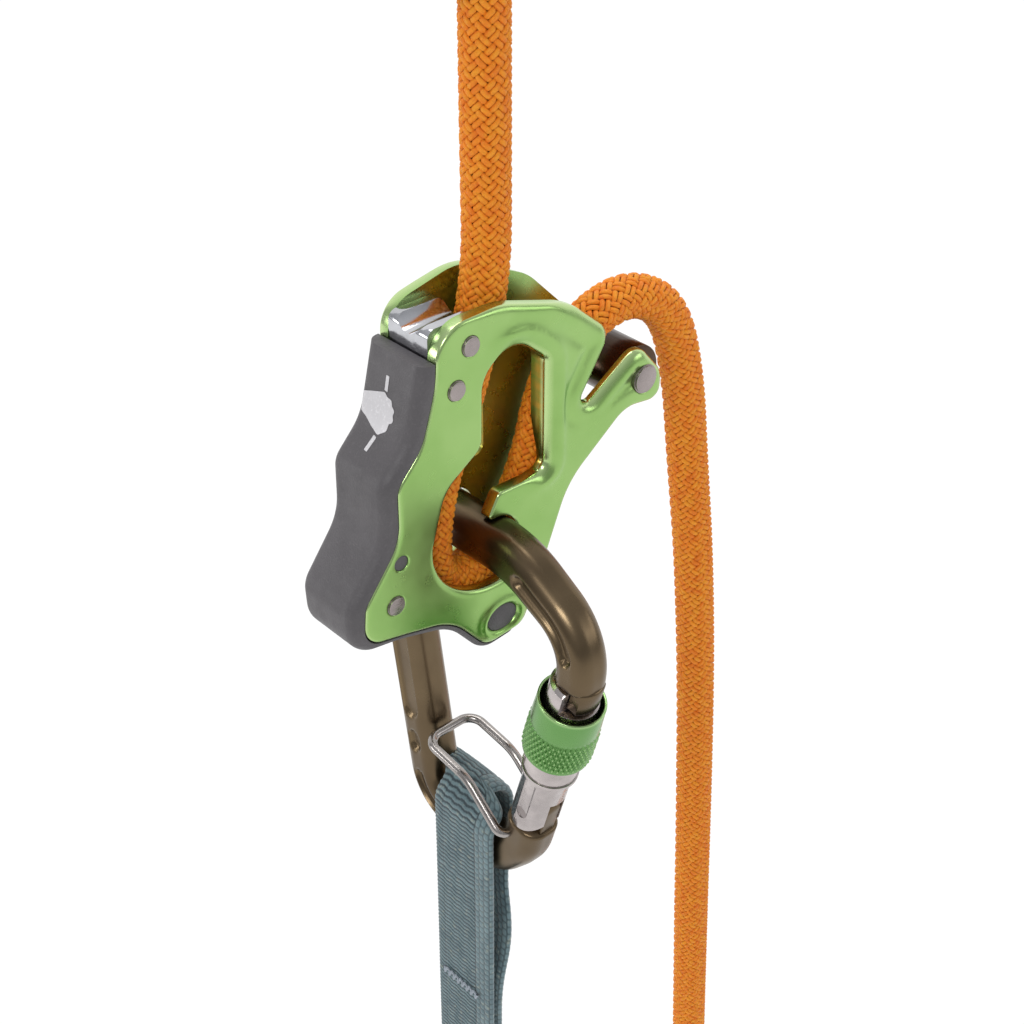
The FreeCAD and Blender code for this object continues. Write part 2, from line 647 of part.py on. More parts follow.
def gate():
    """Gate barrel, its pin, and the spring and plunger that close it."""
    end = -PIVOT_DROP - D["gate_radius"]
    ring_low, ring_top = -23.2, -22.4
    stop_radius = D["gate_collar_radius"] + 0.35
    barrel = turned([
        (0, end), (D["gate_radius"], end), (D["gate_radius"], ring_low),
        (stop_radius, ring_low), (stop_radius, ring_top), (D["gate_collar_radius"], ring_top),
        (D["gate_collar_radius"], -8.0), (D["gate_top_radius"], -7.0),
        (D["gate_top_radius"], GATE_TOP - 0.7), (D["gate_top_radius"] - 0.7, GATE_TOP),
        (0, GATE_TOP),
    ])
    half_slot = D["gate_slot"] / 2
    barrel = barrel.cut(block((end - 1, -PIVOT_DROP + 5.2), (-9, 9), (-half_slot, half_slot)))
    # Seat of the nose's claw, open outwards and upwards.
    barrel = barrel.cut(block((0.3, GATE_TOP + 1), (1.4, 9), (-9, 9)))
    pin_radius = D["gate_pin_radius"]
    bore = Part.makeCylinder(pin_radius, 20.0, gate_point(-PIVOT_DROP, 0, -10.0), Vector(1, 0, 0))
    # Round the lower end so that it turns clear of the body.
    keep = Part.makeCylinder(D["gate_radius"], 20.0, gate_point(-PIVOT_DROP, 0, -10.0),
                             Vector(1, 0, 0))
    upper = block((-PIVOT_DROP, GATE_TOP + 1), (-9, 9), (-10, 10))
    barrel = barrel.common(keep.fuse(upper)).cut(bore)
    spring_bore = Part.makeCylinder(1.7, 11.0, gate_point(-PIVOT_DROP + 5.0), GATE_UP)
    feature_of("gate_barrel", barrel.cut(spring_bore).removeSplitter())
    length = 2 * D["gate_radius"] - 0.3
    feature_of("gate_pin", Part.makeCylinder(pin_radius, length,
                                             gate_point(-PIVOT_DROP, 0, -length / 2),
                                             Vector(1, 0, 0)))
    # A small closing spring above the tongue, pressing on a plunger.
    spring = Part.makeCylinder(1.6, 7.6, gate_point(-PIVOT_DROP + 8.4), GATE_UP)
    spring = spring.cut(Part.makeCylinder(1.0, 8.0, gate_point(-PIVOT_DROP + 8.2), GATE_UP))
    feature_of("gate_spring", spring)
    plunger = Part.makeCylinder(1.6, 3.5, gate_point(-PIVOT_DROP + 4.9), GATE_UP)
    feature_of("gate_plunger", plunger)


gate()


def screw_sleeve():
    """Threaded locking sleeve, the ring that keeps it on, and its detent ring."""
    bore, outer, length = D["sleeve_bore"], D["sleeve_radius"], D["sleeve_length"]
    thread = D["gate_collar_radius"] + 0.08
    land = -length + 4.6
    sleeve = turned([
        (bore, 0), (outer - 0.4, 0), (outer - 0.2, -5.0), (outer, -9.0), (outer - 0.05, -13.0),
        (outer - 1.0, -length), (thread, -length), (thread, land - 1.0), (bore, land),
    ])
    feature_of("screw_sleeve", sleeve)
    ring = turned([(thread, land + 0.2), (bore - 0.05, land + 0.2),
                   (bore - 0.05, land + 1.2), (thread, land + 1.2)])
    feature_of("sleeve_ring", ring)


screw_sleeve()


def keeper_wire():
    """Sprung wire whose two ends turn in the body's hole and whose bridge closes the basket."""
    half = D["keeper_half_width"]
    bend = 2.4
    legs = [(KEEPER_HOLE, -2.2), (KEEPER_HOLE, -half), (KEEPER_KNEE, -half),
            (KEEPER_BRIDGE, -half), (KEEPER_BRIDGE, half), (KEEPER_KNEE, half),
            (KEEPER_HOLE, half), (KEEPER_HOLE, 2.2)]
    radii = [0, bend, 9.0, 3.6, 3.6, 9.0, bend, 0]
    points = [(on("YZ", *place_, across), r) for (place_, across), r in zip(legs, radii)]
    feature_of("keeper_wire", tube(route_wire(points), D["wire_diameter"] / 2))


keeper_wire()


# ================================================================ sling
# From the top: a loop over the basket, then both plies sewn together, then a small lower loop.
SLING_FRONT = -18.8          # middle of the ply nearer the grip, along X
SLING_REAR = -6.0           # middle of the other ply, level with the basket
SEAM = -17.6                # face between the two plies, where they are sewn together
SEWN_TOP = -120.0
SEWN_FOOT = -154.0
LOOP_FOOT = -178.0


def sling():
    """Webbing sewn into two loops, and the bar tacks that hold its plies together."""
    body = new_body("sling_webbing")
    sketch = new_sketch(body, "loops", "XZ", D["sling_middle"])
    thick = D["sling_thick"]
    half = thick / 2
    crest = D["sling_crest"]
    outer = [(SLING_FRONT - half, crest, 7.0), (SLING_REAR + half, crest, 7.0),
             (SLING_REAR + half, -84.0, 8.0), (-11.4, -104.0, 40.0),
             (SEAM + thick, SEWN_TOP, 20.0), (SEAM + thick, SEWN_FOOT, 8.0),
             (SEAM + thick + 3.6, LOOP_FOOT + 8.0, 6.0), (SEAM, LOOP_FOOT, 3.0),
             (SEAM - thick - 3.6, LOOP_FOOT + 8.0, 6.0), (SEAM - thick, SEWN_FOOT, 8.0),
             (SEAM - thick, SEWN_TOP, 60.0)]
    upper = [(SLING_FRONT + half, crest - thick, 4.6), (SLING_REAR - half, crest - thick, 4.6),
             (SLING_REAR - half, -84.0, 8.0), (-13.8, -104.0, 40.0), (SEAM + 0.1, SEWN_TOP + 3.0, 0)]
    lower = [(SEAM, SEWN_FOOT - 2.0, 0), (SEAM + 3.8, LOOP_FOOT + 8.6, 3.0),
             (SEAM, LOOP_FOOT + thick + 0.6, 2.0), (SEAM - 3.8, LOOP_FOOT + 8.6, 3.0)]
    for outline in (outer, upper, lower):
        draw(sketch, rounded(outline))
    pad(body, sketch, "band", "Dims.sling_width")
    place(body)
    tacks = []
    for i, height in enumerate((-126.0, -150.0)):
        for side in (-1, 1):
            tack = doc.addObject("Part::Box", f"tack_{i}_{side + 1}")
            tack.Length, tack.Width, tack.Height = 0.4, D["sling_width"] - 5.0, 3.0
            across = SEAM + side * (thick + 0.2) - 0.2
            tack.Placement.Base = Vector(across, D["sling_middle"] - tack.Width.Value / 2, height)
            tacks.append(tack)
    group = doc.addObject("Part::Compound", "sling_bar_tacks")
    group.Links = tacks
    group.Label = "sling_bar_tacks"
    place(group)


sling()


# ================================================================ check and write
def checked():
    doc.recompute()
    for obj in doc.Objects:
        bad = [state for state in obj.State if state in ("Invalid", "Error")]
        assert not bad, (obj.Name, obj.State)


def sub_parts():
    """The objects that are sub-parts: bodies, and free features that nothing else uses."""
    kinds = ("PartDesign::Body", "Part::Feature", "Part::Cut", "Part::Compound")
    return [obj for obj in doc.Objects if obj.TypeId in kinds]


checked()
os.makedirs("parts", exist_ok=True)
for obj in sub_parts():
    shape = obj.Shape
    assert not shape.isNull() and shape.isValid(), obj.Label
    shape.exportStep(f"parts/{obj.Label}.step")
    print(f"{obj.Label}: {len(shape.Solids)} solid(s), {shape.Volume:.0f} mm3")
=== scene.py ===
import math

import bmesh
import bpy
import numpy as np
from mathutils import Matrix, Vector
from mathutils.bvhtree import BVHTree
from mathutils.geometry import delaunay_2d_cdt


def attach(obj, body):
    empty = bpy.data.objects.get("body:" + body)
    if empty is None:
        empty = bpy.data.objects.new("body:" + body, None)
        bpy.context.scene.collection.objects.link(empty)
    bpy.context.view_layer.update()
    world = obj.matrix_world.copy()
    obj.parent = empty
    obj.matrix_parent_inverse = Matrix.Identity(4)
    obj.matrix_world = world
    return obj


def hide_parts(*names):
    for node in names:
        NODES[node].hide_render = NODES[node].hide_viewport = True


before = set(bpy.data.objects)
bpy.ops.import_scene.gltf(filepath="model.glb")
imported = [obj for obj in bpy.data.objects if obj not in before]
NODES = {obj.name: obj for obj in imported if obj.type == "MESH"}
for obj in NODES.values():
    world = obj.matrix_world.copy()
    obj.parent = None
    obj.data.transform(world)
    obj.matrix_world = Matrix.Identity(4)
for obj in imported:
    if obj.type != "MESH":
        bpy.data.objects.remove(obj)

# Sizes are in millimetres in the device frame, with X towards the arm, Y away from the front plate
# and Z up. at() turns them into metres in the row's frame, whose origin is the rope's eye.
EYE = (-12.4, 0.0, 164.0)
SEAT = -12.5                # the carabiner's plane, along X
scene = bpy.context.scene


def at(x, y, z):
    return Vector(((x - EYE[0]) / 1000, (y - EYE[1]) / 1000, (z - EYE[2]) / 1000))


def note_bounds():
    """Brings the scene's transforms up to date."""
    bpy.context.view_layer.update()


note_bounds()


# ================================================================ camera and rope
def camera():
    back = Vector((-0.558, -0.620, 0.552)).normalized()
    right = Vector((0.743, -0.669, 0.0)).normalized()
    axes = Matrix((right, back.cross(right), back)).transposed().to_4x4()
    data = bpy.data.cameras.new("camera")
    data.sensor_width = 36
    data.lens = 36 * 1700 / 1024
    data.clip_start = 0.01
    cam = bpy.data.objects.new("camera", data)
    scene.collection.objects.link(cam)
    cam.matrix_world = Matrix.Translation(at(0, 1, 0) + back * 0.355) @ axes
    scene.camera = cam


camera()

ROPE_RADIUS = 5.1
SHEATH_RADIUS = 4.8         # to the crowns of the strands
LOAD_ROUTE = [(-7.2, 140.0), (-7.2, 78.0), (-7.2, 57.5), (-12.6, 37.5), (-23.25, 12.5),
              (-23.25, -7.75)]
BRAKE_ROUTE = [
    (-6.6, -7.75), (5.0, 10.8), (8.6, 27.0), (17.8, 38.6), (31.4, 41.2), (43.8, 33.4),
    (49.8, 14.6), (53.0, -8.0), (57.8, -38.0), (61.8, -76.0), (65.0, -122.0), (68.2, -176.0),
    (72.2, -236.0),
]


def nurbs_line(points):
    """Points read from a NURBS spline that has these (x, z) points as its control points."""
    curve = bpy.data.curves.new("route", "CURVE")
    curve.dimensions = "3D"
    spline = curve.splines.new("NURBS")
    spline.points.add(len(points) - 1)
    for point, (x, z) in zip(spline.points, points):
        point.co = (*at(x, 0, z), 1)
    spline.order_u = 3
    spline.use_endpoint_u = True
    spline.resolution_u = 40
    holder = bpy.data.objects.new("route", curve)
    mesh = bpy.data.meshes.new_from_object(holder)
    line = np.array([v.co for v in mesh.vertices], float)
    bpy.data.objects.remove(holder)
    bpy.data.curves.remove(curve)
    bpy.data.meshes.remove(mesh)
    return line


def resampled(line, step):
    """The line again, with points a step apart."""
    gaps = np.linalg.norm(np.diff(line, axis=0), axis=1)
    along = np.concatenate([[0], np.cumsum(gaps)])
    places = np.linspace(0, along[-1], max(3, int(round(along[-1] / step)) + 1))
    return np.stack([np.interp(places, along, line[:, k]) for k in range(3)], axis=1)


def length_of(line):
    return float(np.linalg.norm(np.diff(line, axis=0), axis=1).sum())


def add(name, verts, faces, body, material, smooth=True, stands_for=()):
    """A piece made of points in metres and faces, riding on a body."""
    mesh = bpy.data.meshes.new(name)
    mesh.from_pydata([tuple(v) for v in verts], [], [tuple(f) for f in faces])
    mesh.update()
    obj = bpy.data.objects.new(name, mesh)
    scene.collection.objects.link(obj)
    if smooth:
        mesh.shade_smooth()
    mesh.materials.append(material)
    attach(obj, body)
    if stands_for:
        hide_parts(*stands_for)
    return obj


def grid_faces(rows, columns, wrap_columns=True, wrap_rows=False):
    """Quads over a grid of rows times columns of points."""
    faces = []
    for r in range(rows if wrap_rows else rows - 1):
        for c in range(columns if wrap_columns else columns - 1):
            below, beside = (r + 1) % rows * columns, (c + 1) % columns
            faces.append((r * columns + c, r * columns + beside, below + beside, below + c))
    return faces


def set_uv(obj, values):
    """Writes one (u, v) for each vertex."""
    layer = obj.data.uv_layers.new(name="UVMap")
    index = np.zeros(len(obj.data.loops), np.int32)
    obj.data.loops.foreach_get("vertex_index", index)
    layer.data.foreach_set("uv", np.asarray(values, np.float32)[index].ravel())


def set_value(obj, name, values):
    layer = obj.data.attributes.new(name, "FLOAT", "POINT")
    layer.data.foreach_set("value", np.asarray(values, np.float32))


# ================================================================ materials
def linear(r, g, b):
    """A colour given as 0 to 255, as a shader wants it."""
    def one(c):
        c /= 255
        return c / 12.92 if c <= 0.04045 else ((c + 0.055) / 1.055) ** 2.4
    return (one(r), one(g), one(b), 1.0)


class Paint:
    """A procedural material under construction."""

    def __init__(self, name, **settings):
        self.material = bpy.data.materials.new(name)
        self.material.use_nodes = True
        self.tree = self.material.node_tree
        self.shader = next(n for n in self.tree.nodes if n.type == "BSDF_PRINCIPLED")
        self.place = self.node("ShaderNodeTexCoord").outputs["Object"]
        for key, value in settings.items():
            self.shader.inputs[key.replace("_", " ")].default_value = value

    def node(self, kind, settings=(), **inputs):
        made = self.tree.nodes.new(kind)
        for key, value in dict(settings).items():
            setattr(made, key, value)
        for key, value in inputs.items():
            self.feed(made.inputs[key.replace("_", " ")], value)
        return made

    def feed(self, socket, value):
        if isinstance(value, bpy.types.NodeSocket):
            self.tree.links.new(value, socket)
        else:
            socket.default_value = value

    def noise(self, scale, detail=3.0, roughness=0.55, stretch=None):
        where = self.place
        if stretch:
            where = self.node("ShaderNodeMapping", Vector=where, Scale=stretch).outputs[0]
        made = self.node("ShaderNodeTexNoise", Vector=where, Scale=scale, Detail=detail,
                         Roughness=roughness)
        return made.outputs[0]

    def cells(self, scale):
        made = self.node("ShaderNodeTexVoronoi", {"feature": "F1"}, Vector=self.place, Scale=scale)
        return made.outputs["Distance"]

    def value(self, name):
        return self.node("ShaderNodeAttribute", {"attribute_name": name}).outputs["Fac"]

    def math(self, operation, a, b=0.0):
        made = self.node("ShaderNodeMath", {"operation": operation})
        self.feed(made.inputs[0], a)
        self.feed(made.inputs[1], b)
        return made.outputs[0]

    def spread(self, value, low, high, to_low=0.0, to_high=1.0):
        made = self.node("ShaderNodeMapRange", {"interpolation_type": "SMOOTHSTEP"})
        for socket, number in zip(made.inputs, (value, low, high, to_low, to_high)):
            self.feed(socket, number)
        return made.outputs[0]

    def mix(self, share, a, b):
        made = self.node("ShaderNodeMix", {"data_type": "RGBA"})
        self.feed(made.inputs[0], share)
        self.feed(made.inputs[6], a)
        self.feed(made.inputs[7], b)
        return made.outputs[2]

    def set(self, name, value):
        self.feed(self.shader.inputs[name], value)

    def bump(self, height, strength, distance):
        made = self.node("ShaderNodeBump", Height=height, Strength=strength, Distance=distance)
        if self.shader.inputs["Normal"].is_linked:
            last = self.shader.inputs["Normal"].links[0].from_socket
            self.feed(made.inputs["Normal"], last)
        self.set("Normal", made.outputs[0])


def anodised(name, colour, deep, edge, wear_and_reflection_tones=None, roughness=0.3):
    """Anodised aluminium: a satin face, paler and smoother edges, the paleness a painted highlight,
    where the first attribute read is high, and gold-brown streaks in the rope's channel, partly
    wear and partly a painted reflection of the orange rope, where the second is high."""
    p = Paint(name, Metallic=1.0)
    base = p.mix(p.spread(p.noise(45, 3), 0.3, 0.75), linear(*colour), linear(*deep))
    # Paler edge colour: a painted highlight; the same value also lowers the roughness below.
    polish_and_highlight = p.value("polish_and_highlight")
    tone = p.mix(polish_and_highlight, base, linear(*edge))
    if wear_and_reflection_tones:
        streaks = p.spread(p.noise(160, 4, stretch=(1, 1, 3)), 0.3, 0.75)
        # Gold-brown channel tone with streaks: partly rope wear, partly a painted reflection of the
        # orange rope.
        tone = p.mix(p.value("rope_wear_and_reflection"), tone, p.mix(streaks, linear(*wear_and_reflection_tones[0]), linear(*wear_and_reflection_tones[1])))
    p.set("Base Color", tone)
    rough = p.spread(p.noise(220, 3), 0.3, 0.75, roughness - 0.03, roughness + 0.04)
    p.set("Roughness", p.math("SUBTRACT", rough, p.math("MULTIPLY", polish_and_highlight, roughness * 0.5)))
    p.bump(p.noise(110, 2), 0.05, 0.0003)
    return p.material


def steel(name, colour, roughness, brushed=None, metallic=1.0):
    """Bare metal with fine scratches, along an axis if one is given."""
    p = Paint(name, Metallic=metallic)
    dark = [c * 0.8 for c in colour]
    p.set("Base Color", p.mix(p.spread(p.noise(90, 4), 0.3, 0.75), linear(*colour), linear(*dark)))
    fine = p.noise(900, 4, stretch=brushed)
    p.set("Roughness", p.spread(fine, 0.25, 0.8, roughness * 0.75, roughness * 1.4))
    p.bump(fine, 0.12, 0.00005)
    return p.material


def plastic(name, colour, roughness, grain_scale=2600, grain=0.35):
    """Moulded plastic with a fine grain and slight wear."""
    p = Paint(name)
    lighter = [min(255, c * 1.22) for c in colour]
    cloud = p.spread(p.noise(70, 5), 0.35, 0.8)
    specks = p.spread(p.noise(1500, 2), 0.52, 0.75)
    base = p.mix(p.math("MULTIPLY", cloud, 0.5), linear(*colour), linear(*lighter))
    p.set("Base Color", p.mix(p.math("MULTIPLY", specks, 0.4), base, linear(*lighter)))
    p.set("Roughness", p.spread(p.noise(300, 3), 0.3, 0.8, roughness - 0.08, roughness + 0.08))
    p.bump(p.cells(grain_scale), grain, 0.00012)
    return p.material


def rope_sheath():
    """Braided polyamide: twisted filaments along each strand, with painted shade where strands dive
    under and on their inner sides.
    """
    p = Paint("rope_sheath", Roughness=0.62)
    p.set("Sheen Weight", 0.08)
    p.set("Sheen Tint", linear(255, 190, 110))
    uv = p.node("ShaderNodeUVMap").outputs[0]
    turned = p.node("ShaderNodeMapping", Vector=uv, Rotation=(0, 0, 0.9), Scale=(1.0, 1.6, 1.0))
    twist = p.node("ShaderNodeTexWave", {"wave_type": "BANDS"}, Vector=turned.outputs[0],
                   Scale=1.35, Distortion=1.6, Detail=2.0, Detail_Scale=2.0).outputs["Fac"]
    tone = p.value("tone")
    lift = p.value("lift")
    bright = p.mix(tone, linear(255, 146, 4), linear(242, 124, 2))
    warm = p.mix(p.spread(p.noise(500, 3), 0.35, 0.7), bright, linear(255, 164, 26))
    # Painted shade: darker where the lift value is low, under crossing strands and on each strand's
    # inner side.
    shade = p.mix(p.spread(lift, 0.0, 0.6), linear(168, 76, 4), warm)
    lines = p.spread(twist, 0.0, 0.6)
    p.set("Base Color", p.mix(lines, p.mix(0.35, shade, linear(176, 84, 4)), shade))
    p.bump(twist, 0.55, 0.00012)
    p.bump(p.noise(3200, 3), 0.3, 0.0001)
    return p.material


def webbing_cloth():
    """Woven tape: ribs follow the mesh's own, with thread-sized colour changes and painted shade in
    the valleys between ribs.
    """
    p = Paint("webbing_cloth", Roughness=0.72)
    p.set("Sheen Weight", 0.3)
    uv = p.node("ShaderNodeUVMap").outputs[0]
    threads = p.node("ShaderNodeTexWave", {"wave_type": "BANDS", "bands_direction": "Y"},
                     Vector=uv, Scale=0.85, Distortion=1.2, Detail=2.0).outputs["Fac"]
    rib = p.value("lift")
    base = p.mix(p.spread(p.noise(240, 4), 0.35, 0.7), linear(116, 140, 144), linear(92, 116, 122))
    warm = p.mix(p.spread(p.noise(700, 2), 0.55, 0.75), base, linear(146, 156, 146))
    # Painted shade: dark blue-grey in the valleys between the ribs.
    deep = p.mix(p.spread(rib, 0.0, 0.8), linear(34, 48, 54), warm)
    p.set("Base Color", p.mix(p.math("MULTIPLY", p.spread(threads, 0.5, 0.0), 0.35), deep,
                              linear(66, 88, 96)))
    p.bump(threads, 0.4, 0.00012)
    p.bump(p.noise(3000, 2), 0.25, 0.0001)
    return p.material


# The third colour of each anodised set is its paler edge colour, a painted highlight; the plates'
# last pair is the rope channel's gold-brown, partly wear and partly a painted reflection of the
# orange rope.
GREEN = anodised("green_anodised", (158, 194, 118), (142, 182, 102), (206, 228, 166),
                 ((168, 128, 40), (120, 124, 44)), 0.3)
SLEEVE_GREEN = anodised("sleeve_green", (126, 170, 106), (106, 152, 88), (186, 216, 154),
                        roughness=0.27)
BRONZE = anodised("bronze_anodised", (112, 96, 74), (92, 78, 60), (170, 146, 108), roughness=0.3)
INSERT = steel("insert_steel", (205, 206, 210), 0.14)
RIVET = steel("rivet_steel", (168, 158, 156), 0.3, (1, 1, 6))
# The spacer's dark reddish brown is painted shade between the plates and a painted reflection of
# the orange rope.
SPACER = anodised("spacer_shade_and_reflection", (84, 66, 54), (58, 46, 38), (120, 98, 80), roughness=0.27)
GATE = steel("gate_silver", (205, 196, 194), 0.22)
WIRE = steel("keeper_steel", (176, 170, 166), 0.22, (4, 1, 1))
GRIP = plastic("grip_plastic", (82, 79, 81), 0.55)
PALE = plastic("pale_print", (200, 198, 200), 0.55, 3200, 0.2)
COVER = plastic("cover_plastic", (40, 40, 42), 0.45, 1500, 0.2)
ROPE = rope_sheath()
# Dark orange-brown seen in the gaps between the strands: painted shade.
CORE_SHADE = plastic("rope_gap_shade", (150, 68, 6), 0.8)
CLOTH = webbing_cloth()
THREAD = plastic("tack_thread", (150, 158, 166), 0.7, 1800, 0.4)


# ================================================================ braided rope
PAIRS = 8                   # pairs of strands each way
BRAID_TURN = 25.0           # length in which a strand goes once round


def rope_frames(line):
    """Tangents and side directions of a line that lies in a plane of constant Y."""
    tangents = np.gradient(line, axis=0)
    tangents /= np.linalg.norm(tangents, axis=1)[:, None]
    across = np.tile([0.0, 1.0, 0.0], (len(line), 1))
    return tangents, np.cross(tangents, across), across


def braid(name, line, body, stands_for=(), start=0.0):
    """A rope's sheath as its own strands: pairs that pass over one pair and under the next."""
    line = resampled(line, 0.00045)
    tangents, side, across = rope_frames(line)
    along = start + np.arange(len(line)) * length_of(line) * 1000 / (len(line) - 1)
    verts, faces, uvs, tones, lifts = [], [], [], [], []
    ring = np.linspace(0, 2 * np.pi, 8, endpoint=False)
    pitch = 2 * np.pi / BRAID_TURN
    lean = math.atan(pitch * (SHEATH_RADIUS - 0.6))
    half_step = np.pi / (2 * PAIRS)
    wide = half_step * (SHEATH_RADIUS - 0.3) * math.cos(lean) * 0.98
    rows = len(line)
    for way in (1, -1):
        for i in range(2 * PAIRS):
            shift = half_step if i % 2 else -half_step
            angle = way * pitch * along + 2 * np.pi * (i // 2) / PAIRS + shift
            beat = 2 * np.pi * PAIRS * (along + way * shift / (2 * pitch)) / BRAID_TURN
            over = np.cos(beat) * way
            height = np.clip(0.5 + 0.95 * over, 0, 1)
            radius = SHEATH_RADIUS - 1.22 + 0.78 * height
            for turn in ring:
                u = wide * np.cos(turn) * (0.9 + 0.12 * height)
                v = 0.44 * np.sin(turn)
                a = angle + u * math.cos(lean) / SHEATH_RADIUS
                r = radius + v
                out = side * np.cos(a)[:, None] + across * np.sin(a)[:, None]
                slide = -way * u * math.sin(lean)
                verts.append(line + (out * r[:, None] + tangents * slide[:, None]) / 1000)
                uvs.append(np.stack([along, np.full(rows, turn / (2 * np.pi) * 3.0)], axis=1))
                tones.append(np.full(rows, (i * 7 + (way > 0) * 3) % 5 / 5.0))
                # Lift for the painted shade: low where a strand dives under and on its side towards
                # the core.
                lifts.append(height * (0.35 + 0.65 * max(0.0, math.sin(turn))))
            first = (len(verts) - len(ring)) * rows
            for k in range(len(ring)):
                a, b = first + k * rows, first + (k + 1) % len(ring) * rows
                faces += [(a + j, a + j + 1, b + j + 1, b + j) for j in range(rows - 1)]
    rope = add(name, np.concatenate(verts), faces, body, ROPE,
               stands_for=stands_for)
    set_uv(rope, np.concatenate(uvs))
    set_value(rope, "tone", np.concatenate(tones))
    set_value(rope, "lift", np.concatenate(lifts))
    return rope, line


def core_tube(name, line, body, radius=3.7):
    """A tube under the strands that fills the gaps between them, dark as painted shade, closed flat
    at both ends.
    """
    line = resampled(line, 0.0015)
    _, side, across = rope_frames(line)
    count = 32
    angles = np.linspace(0, 2 * np.pi, count, endpoint=False)
    circle = (side[:, None] * np.cos(angles)[None, :, None]
              + across[:, None] * np.sin(angles)[None, :, None])
    verts = (line[:, None] + circle * radius / 1000).reshape(-1, 3)
    faces = grid_faces(len(line), count)
    faces += [tuple(range(count)), tuple(range(len(verts) - count, len(verts)))]
    return add(name, verts, faces, body, CORE_SHADE)


whole_route = nurbs_line(LOAD_ROUTE + BRAKE_ROUTE)
lowest = int(np.argmin(np.where(whole_route[:, 0] < 0.006, whole_route[:, 2], 1)))
load_line, brake_line = whole_route[:lowest + 1], whole_route[lowest:]
load_rope, load_path = braid("rope_load", load_line, "frame", ("rope_load_strand", "rope_bight"))
brake_rope, brake_path = braid("rope_brake", brake_line, "frame", ("rope_brake_strand",),
                               start=length_of(load_line) * 1000)
core_tube("rope_load_core", load_line, "frame")
core_tube("rope_brake_core", brake_line, "frame")


# ================================================================ outlines and flat plates
FRONT_TOP = [(-26.5, 55.0, 7.5), (-10.5, 54.9, 20.0), (7.4, 49.2, 22.0)]
REAR_TOP = [(-26.5, 54.6, 7.0), (-8.8, 58.6, 14.0), (8.5, 50.2, 14.0)]
PLATE_EDGE = [
    (19.4, 39.2, 4.5), (10.7, 26.0, 1.6), (13.6, 24.6, 1.6), (27.4, 33.2, 4.2), (34.8, 24.4, 3.4),
    (32.6, 18.9, 3.4), (23.2, 20.2, 8.0), (7.4, 8.6, 18.0), (-1.0, -12.0, 30.0), (-5.2, -21.0, 4.0),
    (-15.4, -21.8, 5.0), (-24.5, -11.0, 16.0), (-36.5, -8.2, 22.0), (-46.4, -6.2, 5.0),
    (-45.6, 2.6, 5.0), (-36.8, 14.0, 12.0), (-36.8, 25.6, 5.0), (-30.6, 32.2, 12.0),
    (-27.0, 44.0, 25.0),
]
FRONT_SLOT = [(-15.7, 44.6, 6.5), (-5.2, 44.7, 8.0), (1.2, 39.4, 3.0), (1.2, 13.9, 2.2)]
REAR_SLOT = [(-15.7, 44.6, 5.0), (-3.6, 44.6, 5.0), (-3.6, 14.0, 2.2)]
WINDOW_SEAT = [
    (-11.8, 14.2, 1.4), (-14.9, 8.6, 1.0), (-6.9, 8.6, 5.6), (-6.2, -7.2, 5.0), (-24.5, -7.2, 16.0),
    (-29.3, 7.0, 10.0), (-25.4, 20.4, 9.0), (-16.0, 26.6, 4.0),
]
RIVETS = [(-18.6, 49.3), (-22.2, 41.3), (-38.5, 0.0)]
PEG, BOSS_AT, ARM_PIN = (-36.7, 9.1), (-11.0, -16.6), (28.6, 25.0)
INNER_FACE, OUTER_FACE = 5.7, 8.5


def rounded(corners, step, closed=True):
    """Points about a step apart along a path of (a, b, radius) corners."""
    count, path = len(corners), []
    for i, (a, b, radius) in enumerate(corners):
        here = np.array([a, b])
        if radius == 0 or (not closed and i in (0, count - 1)):
            path.append(here)
            continue
        before = np.array(corners[i - 1][:2]) - here
        after = np.array(corners[(i + 1) % count][:2]) - here
        before, after = before / np.linalg.norm(before), after / np.linalg.norm(after)
        half = math.acos(np.clip(before @ after, -1, 1)) / 2
        middle = (before + after) / np.linalg.norm(before + after) * radius / math.sin(half)
        first = before * radius / math.tan(half) - middle
        last = after * radius / math.tan(half) - middle
        sweep = math.pi - 2 * half
        parts = max(3, math.ceil(sweep * radius / step))
        for t in (k / parts for k in range(parts + 1)):
            bent = first * math.sin((1 - t) * sweep) + last * math.sin(t * sweep)
            path.append(here + middle + bent / math.sin(sweep))
    if closed:
        path.append(path[0])
    path = np.array(path)
    keep = np.concatenate([[True], np.linalg.norm(np.diff(path, axis=0), axis=1) > 1e-5])
    path = path[keep]
    pieces = [path[:1]]
    for a, b in zip(path, path[1:]):
        parts = max(1, round(float(np.linalg.norm(b - a)) / step))
        pieces.append(a + (b - a) * (np.arange(1, parts + 1) / parts)[:, None])
    path = np.concatenate(pieces)
    return path[:-1] if closed else path


def oval(middle, half_long, half_high, count=48):
    angles = np.linspace(0, 2 * np.pi, count, endpoint=False)
    return np.array(middle) + np.stack([half_long * np.cos(angles),
                                        half_high * np.sin(angles)], axis=1)


def away(points, outline):
    """How far each point is from a closed outline."""
    a = outline
    d = np.roll(outline, -1, axis=0) - a
    far = []
    for block in np.array_split(points, max(1, len(points) // 1500)):
        to = block[:, None] - a
        t = np.clip((to * d).sum(2) / np.maximum((d * d).sum(1), 1e-12), 0, 1)
        far.append(np.linalg.norm(to - t[..., None] * d, axis=2).min(1))
    return np.concatenate(far)


def within(points, outline):
    """Whether each point is inside a closed outline."""
    hits = np.zeros(len(points), int)
    x, y = points[:, 0], points[:, 1]
    for (ax, ay), (bx, by) in zip(outline, np.roll(outline, -1, axis=0)):
        crossed = (ay > y) != (by > y)
        place = ax + (y - ay) * (bx - ax) / (by - ay if by != ay else 1)
        hits += crossed & (x < place)
    return hits % 2 == 1


